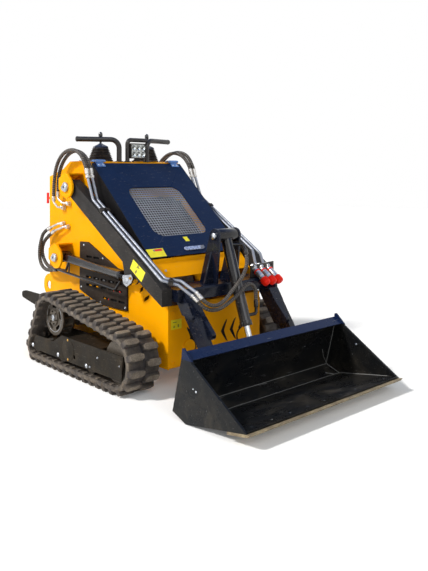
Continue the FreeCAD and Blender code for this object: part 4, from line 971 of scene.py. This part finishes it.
# ---- engine, seen through the mesh
def make_engine():
    """Engine with its oil cooler, air cleaner and ducts, and a dark sheet of painted shade under the top of the hood's
    window.
    """
    bm = bmesh.new()
    solid(bm, [(-186, -104, 110), (186, -104, 110), (186, 356, 110), (-186, 356, 110)],
          [(-180, -96, 300), (180, -96, 300), (180, 352, 300), (-180, 352, 300)])
    solid(bm, [(-172, -60, 300), (172, -60, 300), (172, 340, 300), (-172, 340, 300)],
          [(-150, -20, 470), (150, -20, 470), (150, 320, 470), (-150, 320, 470)])
    lathe(bm, (0, -18, 400), FRONT, [(0, 150), (30, 148), (52, 132), (60, 110), (60, 0)], 48)
    for i in range(12):
        z = 312 + i * 12
        box(bm, (-184, 40, z), (184, 250, z + 4))
    finish("engine_case", bm, "cast", "root", 30, 2.0, 2, replaces="engine_block")
    for i in range(40):
        x = -176 + i * 9
        line = [slope(x + (3.4 if k % 2 else -3.4), 128 + k * 13, -58 + 3 * sin(i * 0.55 + k * 0.4))
                for k in range(24)]
        sweep(bm, line, 2.6, 5)
    finish("oil_cooler_fins", bm, "cooler", "root", 50)
    hood_slab(bm, [(-186, 120), (190, 120), (190, 438), (-186, 438)], -84, -66)
    # Painted shade: a dark sheet behind the upper part of the mesh window, where only shade lies.
    hood_slab(bm, [(-206, 440), (206, 440), (206, 522), (-206, 522)], -104, -96)
    for up in (112, 446):
        sweep(bm, [slope(-186, up, -72), slope(190, up, -72)], 15, 20)
    lathe(bm, slope(40, 452, -60), (0, -0.665, 0.747), [(0, 24), (12, 24), (15, 20), (24, 20), (27, 12), (27, 0)], 28)
    finish("oil_cooler_core_and_shade", bm, "cooler", "root", 30, 1.4, 2)
    hood_slab(bm, [(194, 128), (206, 128), (206, 470), (194, 470)], -70, -26)
    hood_slab(bm, [(-206, 128), (-190, 128), (-190, 470), (-206, 470)], -84, -40)
    finish("oil_cooler_rails", bm, "yellow", "root", 30, 0.8, 2)
    lathe(bm, (-30, 236, 560), UP, [(0, 96), (14, 100), (20, 96), (92, 94), (112, 84), (126, 60), (126, 0)], 48)
    for k in range(24):
        a = 2 * pi * k / 24
        at = Vector((-30 + 97 * cos(a), 236 + 97 * sin(a), 590))
        lathe(bm, at, UP, [(0, 3), (30, 3), (31, 2)], 8)
    lathe(bm, (-30, 236, 686), UP, [(0, 14), (6, 13), (8, 8), (16, 7), (16, 0)], 20)
    finish("engine_air_cleaner", bm, "shroud", "root", 30, 1.2, 2)
    sweep(bm, bent_line([(96, 250, 460), (96, 250, 640), (20, 240, 650)], 26), 17, 18)
    sweep(bm, bent_line([(-150, 60, 460), (-150, 20, 600), (-90, -60, 640), (-60, -120, 668)], 20), 9, 14)
    box(bm, (84, 196, 470), (178, 330, 620))
    finish("engine_ducts", bm, "black", "root", 35, 3.0, 3)


make_engine()


# ---- controls on the deck
def make_handles():
    """Bent steering handles, and the guard of the lamp on the left one."""
    grip = [(98, 335, 1103), (98, 335, 1232), (322, 417, 1232)]
    for side, sign in SIDES:
        bm = bmesh.new()
        line = bent_line([(sign * x, y, z) for x, y, z in grip], 50, 12)
        sweep(bm, line, 14.8, 24)
        out = (line[-1] - line[-2]).normalized()
        lathe(bm, line[-1] - out * 2, out, [(0, 15.4), (8, 15.4), (12, 13.6), (14.5, 8), (15.2, 0)], 24)
        lathe(bm, (sign * 98, 335, 1104.6), UP, [(0, 23), (3.4, 23), (4.2, 16), (8, 14.4)], 28)
        if side == "left":
            guard = bent_line([(-51, 320, 1103), (-51, 320, 1232), (96, 335, 1232)], 26, 10)
            sweep(bm, guard, 12.5, 20)
            lathe(bm, (-51, 320, 1104.2), UP, [(0, 21), (3.4, 21), (4.2, 14), (8, 12.4)], 28)
        finish(f"handle_{side}_tube", bm, "tube", "root", 40, replaces=f"handle_{side}")


def make_joysticks(side, sign):
    """Bellows, cap and knob of a joystick."""
    bm = bmesh.new()
    at = (sign * 166, 425, DECK_Z)
    profile = [(-1, 0), (-1, 72), (6, 72), (8, 69), (11, 67)]
    for k in range(7):
        low = 11 + k * 9.2
        rim = 69 - k * 3.3
        profile += [(low, rim - 6.5), (low + 2.5, rim - 1.4), (low + 4.6, rim), (low + 6.7, rim - 1.4),
                    (low + 9.1, rim - 7)]
    profile += [(77, 42), (79, 30), (79, 0)]
    lathe(bm, at, UP, profile, 56)
    finish(f"joystick_bellows_{side}", bm, "black", "root", 50, replaces="joysticks")
    lathe(bm, (*at[:2], DECK_Z + 74), UP, [(0, 43), (3, 47), (8, 47), (13, 42), (24, 17), (28, 12), (31, 0)], 6, 0.35)
    finish(f"joystick_cap_{side}", bm, "boot", "root", 20, 2.0, 3, replaces="joysticks")
    lathe(bm, (*at[:2], DECK_Z + 90), UP, [(0, 6.5), (43, 6.5), (44, 9.5), (46, 11.6), (64, 12.4), (73, 10.8),
                                           (78.5, 6.5), (80.8, 0)], 28)
    finish(f"joystick_lever_{side}", bm, "gloss", "root", 50, replaces="joysticks")


def make_work_lamp():
    """Lamp with a cooling case, six reflectors and a lens."""
    case, face, lens, chips = bmesh.new(), bmesh.new(), bmesh.new(), bmesh.new()
    box(case, (-40, 312, 1124), (70, 330, 1212))
    for low, high in (((-40, 299, 1124), (70, 312, 1130)), ((-40, 299, 1206), (70, 312, 1212)),
                      ((-40, 299, 1130), (-35, 312, 1206)), ((65, 299, 1130), (70, 312, 1206))):
        box(case, low, high)
    for k in range(12):
        x = -36 + k * 9
        box(case, (x, 330, 1128), (x + 3, 344, 1208))
    box(case, (5, 316, 1112), (31, 332, 1130))
    box(case, (-8, 308, 1106), (44, 340, 1112))
    for x in (-1, 37):
        bolt(case, (x, 324, 1112), UP, 6)
    finish("work_lamp_case", case, "black", "root", 30, 0.8, 2, replaces="work_lamp")
    box(face, (-35, 308, 1130), (65, 312, 1206))
    for column in range(3):
        for row in range(2):
            at = (-18 + column * 33, 308, 1149 + row * 37)
            lathe(face, at, FRONT, [(0, 16), (6.5, 16), (6.5, 14.6), (0.8, 6), (0.6, 0)], 28)
            lathe(chips, (at[0], 307.4, at[2]), FRONT, [(0, 4.6), (1.4, 4.6), (2.2, 3), (2.4, 0)], 16)
    finish("work_lamp_reflector", face, "mirror", "root", 30, replaces="work_lamp")
    finish("work_lamp_leds", chips, "led", "root", 40, replaces="work_lamp")
    box(lens, (-35, 300.6, 1130), (65, 301.8, 1206))
    finish("work_lamp_lens", lens, "clear", "root", 30, 0.3, 1, replaces="work_lamp")


def make_isolator():
    bm = bmesh.new()
    lathe(bm, (-296, 753, 887), BACK, [(0, 14), (4, 14), (5, 9), (26, 7.5), (50, 7.5)], 24)
    lathe(bm, (-298, 803, 854), UP, [(0, 0), (0.6, 5), (4, 7.6), (16, 6.6), (33, 6.9), (50, 6.6), (62, 7.6),
                                     (65.4, 5), (66, 0)], 24)
    finish("isolator_handle", bm, "red", "root", 45, replaces="isolator_key")


make_handles()
pair_of(make_joysticks)
make_work_lamp()
make_isolator()


# ---- couplers
def make_couplers():
    """Three couplers with red caps on straps."""
    plate, steel, caps = bmesh.new(), bmesh.new(), bmesh.new()
    outline = [(182, 498), (334, 498), (354, 520), (354, 569), (182, 560)]
    solid(plate, [(x, -448, z) for x, z in outline], [(x, -456, z) for x, z in outline])
    for x, z in ((196, 512), (232, 512), (284, 512), (338, 554)):
        bolt(plate, (x, -456, z), FRONT, 7)
    finish("coupler_bracket", plate, "tube", "lift_arms", 30, 1.0, 2, replaces="couplers")
    for x in COUPLERS_X:
        start, end = Vector((x, -451, 545)), Vector((x, -550, 473.4))
        d = (end - start).normalized()
        hexagon(steel, start - d * 6, d, 14, 17)
        lathe(steel, start + d * 8, d, [(0, 12), (8, 12), (9, 14.2), (30, 14.2), (31.5, 15.6), (36, 15.6), (37, 13.6),
                                        (40, 13.6), (41, 15.8), (58, 15.8), (60, 14), (74, 14)], 32)
        hexagon(steel, start - d * 22, d, 14, 12)
        cap = end - d * 41
        lathe(caps, cap, d, [(0, 17.2), (2, 20.4), (10, 21), (32, 21), (35, 20), (37.5, 16), (38, 0)], 32)
        _, u, v = basis(d)
        for k in range(16):
            a = 2 * pi * k / 16
            rib = cap + (u * cos(a) + v * sin(a)) * 20.4
            lathe(caps, rib + d * 4, d, [(0, 0.6), (2, 1.5), (23, 1.5), (26, 0.6)], 6)
        ring(caps, start + d * 24, d, 5, 17.4, 14.3)
        side = -1 if x < 300 else 1
        low = [start + d * 26.5 + u * side * 15.5, start + d * 28 + u * side * 32 - Vector((0, 0, 14)),
               start + d * 50 + u * side * 34 - Vector((0, 0, 46 if x < 220 else 12)),
               start + d * 84 + u * side * 26 - Vector((0, 0, 34 if x < 220 else 4)), cap + d * 20 + u * side * 17]
        sweep(caps, bent_line(low, 14, 5), 2.5, 8)
    finish("coupler_bodies", steel, "ferrule", "lift_arms", 30, replaces="couplers")
    finish("coupler_caps", caps, "red", "lift_arms", 40, replaces="couplers")


make_couplers()


# ---- fittings of the hoses on the body
UPPER = [[(-320, 569, 838), (-350, 592, 842), (-362, 613, 868), (-364, 612, 905)],
         [(-320, 511, 864), (-344, 550, 868), (-350, 587, 890), (-350, 588, 932)]]
LOWER = [[(-320, 573, 746), (-342, 600, 744), (-350, 662, 722), (-356, 694, 708)],
         [(-320, 523, 730), (-342, 546, 728), (-350, 618, 706), (-350, 655, 688)]]


def make_fittings(side, sign):
    """Elbows that lead the hoses into the side plate."""
    bm = bmesh.new()
    for route in UPPER + LOWER:
        route = [(-sign * x, y, z) for x, y, z in route]
        sweep(bm, bent_line(route, 12, 6), 6.3, 16)
        end = Vector(route[-1])
        back = (Vector(route[-2]) - end).normalized()
        crimp(bm, end, back, 33, 11.6)
        start = Vector(route[0])
        away = (Vector(route[1]) - start).normalized()
        hexagon(bm, (sign * 315, start.y, start.z), (sign, 0, 0), 9, 15)
        hexagon(bm, (sign * 325, start.y, start.z), (sign, 0, 0), 10, 12.6)
        hexagon(bm, start + away * 10, away, 11, 10.5)
    finish(f"fittings_{side}", bm, "ferrule", "root", 30, replaces="hose_fittings")


pair_of(make_fittings)


# ---- trim on the body and the tracks
def make_body_trim(side, sign):
    """Pin caps with their flags on the ears, and the lift rod's pin on the arm."""
    out = (sign, 0, 0)
    bm = bmesh.new()
    for (y, z), size in ((ARM_PIN, 21), (LIFT_PIN, 20)):
        lathe(bm, (sign * EAR_X, y, z), out, [(0, size), (1.2, size), (3.4, size * 0.82), (6.6, size * 0.5),
                                              (7.6, 0)], 36)
        flag = [(y + 12, z + 22), (y + 37, z - 4), (y + 30, z - 16), (y + 6, z - 24), (y - 18, z - 4), (y - 10, z + 18)]
        slab(bm, flag, sign * EAR_X, sign * (EAR_X + 2.5))
    finish(f"pin_caps_{side}", bm, "zinc", "root", 35, 0.8, 2)
    # Painted shade: a dark hexagon on each cap stands in for the shade inside its socket.
    for pin, size in ((ARM_PIN, 7), (LIFT_PIN, 6)):
        lathe(bm, (sign * (EAR_X + 7.4), *pin), out, [(0, size), (0.8, size), (1.2, size - 1), (1.2, 0)], 6)
    finish(f"pin_socket_shade_{side}", bm, "boot", "root", 30)
    flag = [(-162, 538), (-214, 547), (-226, 529), (-214, 505), (-176, 482), (-150, 494), (-141, 520)]
    slab(bm, flag, sign * 402, sign * 404.5)
    lathe(bm, (sign * 404.4, -172, 514), out, [(0, 17), (1.5, 17), (3.6, 12), (4.2, 0)], 28)
    finish(f"rod_pin_flag_{side}", bm, "zinc", "lift_arms", 35, 0.9, 2)
    bolt(bm, (sign * 404.5, -208, 528), out, 7)
    finish(f"rod_pin_bolt_{side}", bm, "brass", "lift_arms", 30)


def make_tower_caps():
    """Rounded ends of the tilt cylinder's upper pin and of the quick attach's pins."""
    bm = bmesh.new()
    for x, pin, profile in ((82, TILT_PIN, [(0, 16), (2, 16), (5.5, 11), (6.4, 0)]),
                            (306, (-650, 165), [(0, 17), (2, 17), (4.4, 12), (5, 0)])):
        for sign in (-1, 1):
            lathe(bm, (sign * x, *pin), (sign, 0, 0), profile, 28)
    finish("pin_ends", bm, "zinc", "lift_arms", 35)


def make_track_trim(side, sign):
    """Bolts, plugs, cover and weld marks on the track frame, and the sprocket's hub."""
    out = (sign, 0, 0)
    steel, brass, dark = bmesh.new(), bmesh.new(), bmesh.new()
    for y in (525, 249, -27):
        dome(steel, (sign * FRAME_X, y, 90), out, 11, 6)
    for y, z in ((-318, 150), (-60, 92), (-130, 150)):
        bolt(steel, (sign * FRAME_X, y, z), out, 5)
    lathe(steel, (sign * 498, *SPROCKET), out, [(0, 17), (4, 16), (6, 12), (7, 0)], 32)
    for k in range(6):
        a = pi * k / 3 + 0.3
        bolt(dark, (sign * 498, SPROCKET[0] + 33 * cos(a), SPROCKET[1] + 33 * sin(a)), out, 5)
    ring(steel, (sign * 491.5, *SPROCKET), out, 1.6, 78, 76, 56)
    finish(f"track_bolts_{side}", steel, "zinc", "root", 35)
    for y, z in ((149, 184), (147, 85)):
        dome(brass, (sign * (FRAME_X + 1.4), y, z), out, 6.5, 4)
    finish(f"track_plugs_{side}", brass, "brass", "root", 35)
    lathe(dark, (sign * 539.6, 148, 134.5), out, [(0, 58), (1.6, 58), (2, 57), (2, 0)], 56)
    slab(dark, [(-334, 84), (-316, 84), (-316, 188), (-334, 188)], sign * 539.8, sign * 542)
    slab(dark, [(490, 118), (300, 168), (296, 160), (486, 108)], sign * 539.8, sign * 541)
    for k in range(3):
        slab(dark, [(20 - k * 82, 118), (62 - k * 82, 118), (62 - k * 82, 120.5), (20 - k * 82, 120.5)],
             sign * 539.8, sign * 540.8)
    finish(f"track_cover_{side}", dark, "frame", "root", 30, 0.5, 2)


def make_grille_inner(side, sign):
    """Painted shade: dark sheet behind the grille's slots, with glimpses of hoses and paint in a few of them."""
    bm = bmesh.new()
    outline = [(-58, 340), (188, 338), (388, 392), (386, 650), (312, 653), (34, 540), (-58, 529)]
    slab(bm, outline, sign * 314.2, sign * 315.4)
    finish(f"grille_shade_sheet_{side}", bm, "painted_shade", "root", 30)
    for name, look, spots in (
            ("red", "scarlet", ((296, 522, 20), (58, 425, 22), (10, 425, 14), (112, 372, 12))),
            ("gold", "yellow", ((292, 425, 22), (150, 372, 18), (224, 425, 20), (300, 467, 12))),
            ("grey", "cast", ((160, 467, 22), (232, 467, 16), (88, 467, 18), (84, 522, 20), (158, 522, 14)))):
        bm = bmesh.new()
        for y, z, wide in spots:
            slab(bm, [(y - wide / 2, z - 5.5), (y + wide / 2, z - 5.0), (y + wide / 2 - 3, z + 1.5),
                      (y - wide / 2 + 2, z + 0.5)], sign * 315.3, sign * 317)
        finish(f"grille_{name}_bits_{side}", bm, look, "root", 30)
    for y, z in ((350, 640), (376, 404), (-50, 349), (-50, 520), (180, 346), (160, 582)):
        dome(bm, (sign * 324, y, z), (sign, 0, 0), 6.5, 4)
    finish(f"grille_bolts_{side}", bm, "zinc", "root", 35)


pair_of(make_body_trim)
make_tower_caps()
pair_of(make_track_trim)
pair_of(make_grille_inner)


# ---- front of the body
def make_front():
    """Chevrons, bosses and bolts of the front panel, and the upper flange of the nose panel. The chevrons are painted
    shade in the panel's cut-outs, and the crescents beside the bosses are painted shadows.
    """
    bm = bmesh.new()
    # Painted shade: dark chevrons flush with the panel stand for its cut-outs.
    for tip in (30, 92, 154):
        for sign in (-1, 1):
            shape = [(tip - 1, 233), (tip + 10, 252), (tip + 26, 276), (tip + 44, 292), (tip + 31, 262),
                     (tip + 21, 233), (tip + 33, 204), (tip + 48, 172), (tip + 27, 192), (tip + 10, 215)]
            solid(bm, *([(sign * x, FRONT_Y + y, z) for x, z in shape] for y in (0.4, -0.5)))
    finish("front_chevron_shade", bm, "painted_shade", "root", 30)
    for sign in (-1, 1):
        lathe(bm, (sign * BOSS[0], FRONT_Y + 0.2, BOSS[1]), FRONT, [(0, 38), (4, 37), (5, 34), (5, 0)], 48)
        for z in (372, 130):
            bolt(bm, (sign * 281, FRONT_Y, z), FRONT, 6)
    finish("front_bosses", bm, "yellow", "root", 30, 0.6, 2)
    for sign in (-1, 1):
        turns = [pi * (0.5 + k / 10 * 0.95) for k in range(11)]
        loop = [(sign * (BOSS[0] + 46 * cos(a)), BOSS[1] - 46 * sin(a)) for a in turns] + [
            (sign * (BOSS[0] + 37 * cos(a)), BOSS[1] - 37 * sin(a)) for a in turns[::-1]]
        solid(bm, *([(x, FRONT_Y + y, z) for x, z in loop] for y in (0.2, -0.8)))
    finish("front_boss_shadows", bm, "painted_shade", "root", 30)
    for x in (-250, 250):
        bolt(bm, (x, -290, 558), (0, -0.73, 0.68), 6)
    finish("nose_bolts", bm, "zinc", "root", 30)
    slab(bm, [(-256, 590), (-251.5, 612), (-240, 612), (-244, 590)], -300, 300)
    finish("nose_flange", bm, "yellow", "root", 30, 0.8, 2)


make_front()


# ---- bucket trim
def make_bucket_trim():
    """Edge bands, weld beads and bolts of the bucket."""
    plates, beads = bmesh.new(), bmesh.new()
    for sign in (-1, 1):
        slab(plates, [(-1108, 64), (-745, 290), (-740, 262), (-1052, 70), (-1060, 58)], sign * 505.5, sign * 509.2)
        slab(plates, [(-737, 280), (-741, 311), (-751, 313), (-806, 262)], sign * 509.5, sign * 518.5)
    finish("bucket_edge_bands", plates, "bucket", "bucket", 30, 0.8, 2)
    for sign in (-1, 1):
        for radius, route in ((2.4, [(508, -770, 9.5), (508, -900, 31), (508, -1010, 49), (508, -1104, 64.5)]),
                              (2.4, [(508, -771, 9.5), (508, -730, 24), (508, -687, 40)]),
                              (2.4, [(508, -686.5, 40), (508, -715, 150), (508, -741, 254)]),
                              (1.8, [(509, -771, 9.5), (470, -772, 9.2), (430, -744, 19)]),
                              (1.8, [(508, -690, 42), (470, -700, 84), (446, -712, 130)])):
            sweep(beads, [(sign * x, y, z) for x, y, z in route], radius, 8)
    for corner in ((-769, 9), (-688, 38.5)):
        sweep(beads, [(x, *corner) for x in (-508, 0, 508)], 1.6, 8)
    finish("bucket_welds", beads, "weld", "bucket", 60)
    bm = bmesh.new()
    for sign in (-1, 1):
        dome(bm, (sign * 519, -830, 150), (sign, 0, 0), 5, 2.5)
        dome(bm, (sign * 519, -812, 158), (sign, 0, 0), 3, 2)
        bolt(bm, (sign * 505.4, -880, 178), (-sign, 0, 0), 6)
    for k in range(9):
        x = -448 + 112 * k
        lathe(bm, (x, -1078, 58.6), (0, 0.163, 1), [(0, 7), (1.2, 7), (1.8, 4), (0.8, 3.2), (0.6, 0)], 20)
    finish("bucket_bolts", bm, "zinc", "bucket", 35)


make_bucket_trim()


# ---- rear panel, deck and platform
def make_rear():
    """Louvres and bolts of the rear panel, bolts of the deck, and the raised tread of the platform."""
    bm = bmesh.new()
    for x0, x1 in ((-210, -20), (20, 210)):
        for k in range(7):
            z = 560 + k * 38
            slab(bm, [(REAR_Y, z), (REAR_Y + 14, z + 3), (REAR_Y + 15, z + 5), (REAR_Y, z + 19)], x0, x1)
    for x in (-284, 284):
        for z in (240, 500, 760, 990):
            bolt(bm, (x, REAR_Y, z), BACK, 6)
    finish("rear_louvres", bm, "yellow", "root", 30, 0.8, 2)
    for x in (-270, 270):
        for y in (330, 480):
            bolt(bm, (x, y, DECK_Z), UP, 6)
    finish("deck_bolts", bm, "zinc", "root", 30)
    along = Vector((0, 1116 - 812, 240 - 215)).normalized()
    out = Vector((0, -along.z, along.y))
    for row in range(15):
        for column in range(19):
            middle = Vector((-270 + column * 30, 826 + row * 19.4, 0))
            middle.z = 215 + 6.1 + (middle.y - 812) * 25 / 304
            turn = 1 if (row + column) % 2 else -1
            long = (Vector((1, 0, 0)) * turn + along).normalized()
            wide = long.cross(out).normalized()
            low = [middle + long * 10, middle + wide * 3, middle - long * 10, middle - wide * 3]
            high = [middle + out * 1.8 + (p - middle) * 0.6 for p in low]
            solid(bm, low, high)
    finish("platform_tread", bm, "step", "platform", 30)


make_rear()


# ---- stage and light
def make_stage():
    bm = bmesh.new()
    size = 14.0
    bm.faces.new([bm.verts.new((x * size, y * size, 0)) for x, y in ((-1, -1), (1, -1), (1, 1), (-1, 1))])
    mesh = bpy.data.meshes.new("floor")
    bm.to_mesh(mesh)
    bm.free()
    floor = add_object("floor", mesh, (0, 0, -0.0012))
    n = Nodes("floor")
    grain = n.mix(n.patches(0.3, 0.7, 6, 4), (0.90, 0.90, 0.90, 1), (0.885, 0.885, 0.885, 1))
    matte = n.add("BsdfDiffuse", {"Color": grain})
    glow = n.add("Emission", {"Color": (1, 1, 1, 1), "Strength": n.times(n.rays_to_eye(), 0.09)})
    floor.data.materials.append(n.end(n.add("AddShader", {0: matte.outputs[0], 1: glow.outputs[0]})))


def add_lamp(name, kind, aim, place=(0, 0, 0), **values):
    lamp = bpy.data.lights.new(name, kind)
    for key, value in values.items():
        setattr(lamp, key, value)
    add_object(name, lamp, place, aim)


def make_light():
    """Soft white studio with a cooler zenith, a low warm key from the machine's right and a front fill."""
    world = bpy.data.worlds.new("studio")
    bpy.context.scene.world = world
    n = Nodes("studio", world, "OutputWorld", "Generated")
    sky = n.mix(n.ramp(n.axis("Z"), 0.42, 0.9), (1, 1, 1, 1), (0.20, 0.34, 0.72, 1))
    soft = n.add("Background", {"Color": (0.90, 0.95, 1.0, 1), "Strength": 0.30})
    white = n.add("Background", {"Color": sky, "Strength": 1.0})
    n.end(n.add("MixShader", {0: n.rays_to_eye(), 1: soft.outputs[0], 2: white.outputs[0]}))
    add_lamp("key", "SUN", (0.68, -0.26, -0.69), energy=3.1, angle=radians(7), color=(1.0, 0.975, 0.94))
    add_lamp("fill", "SUN", (0.2, 0.78, -0.6), energy=1.0, angle=radians(45), color=(0.96, 0.98, 1.0))
    add_lamp("strip", "AREA", (4.2, -1.2, -0.4), (-4.2, 1.2, 1.6), shape="RECTANGLE", size=0.3, size_y=3.0, energy=30)


make_stage()
make_light()

scene = bpy.context.scene
scene.view_settings.view_transform = "Standard"
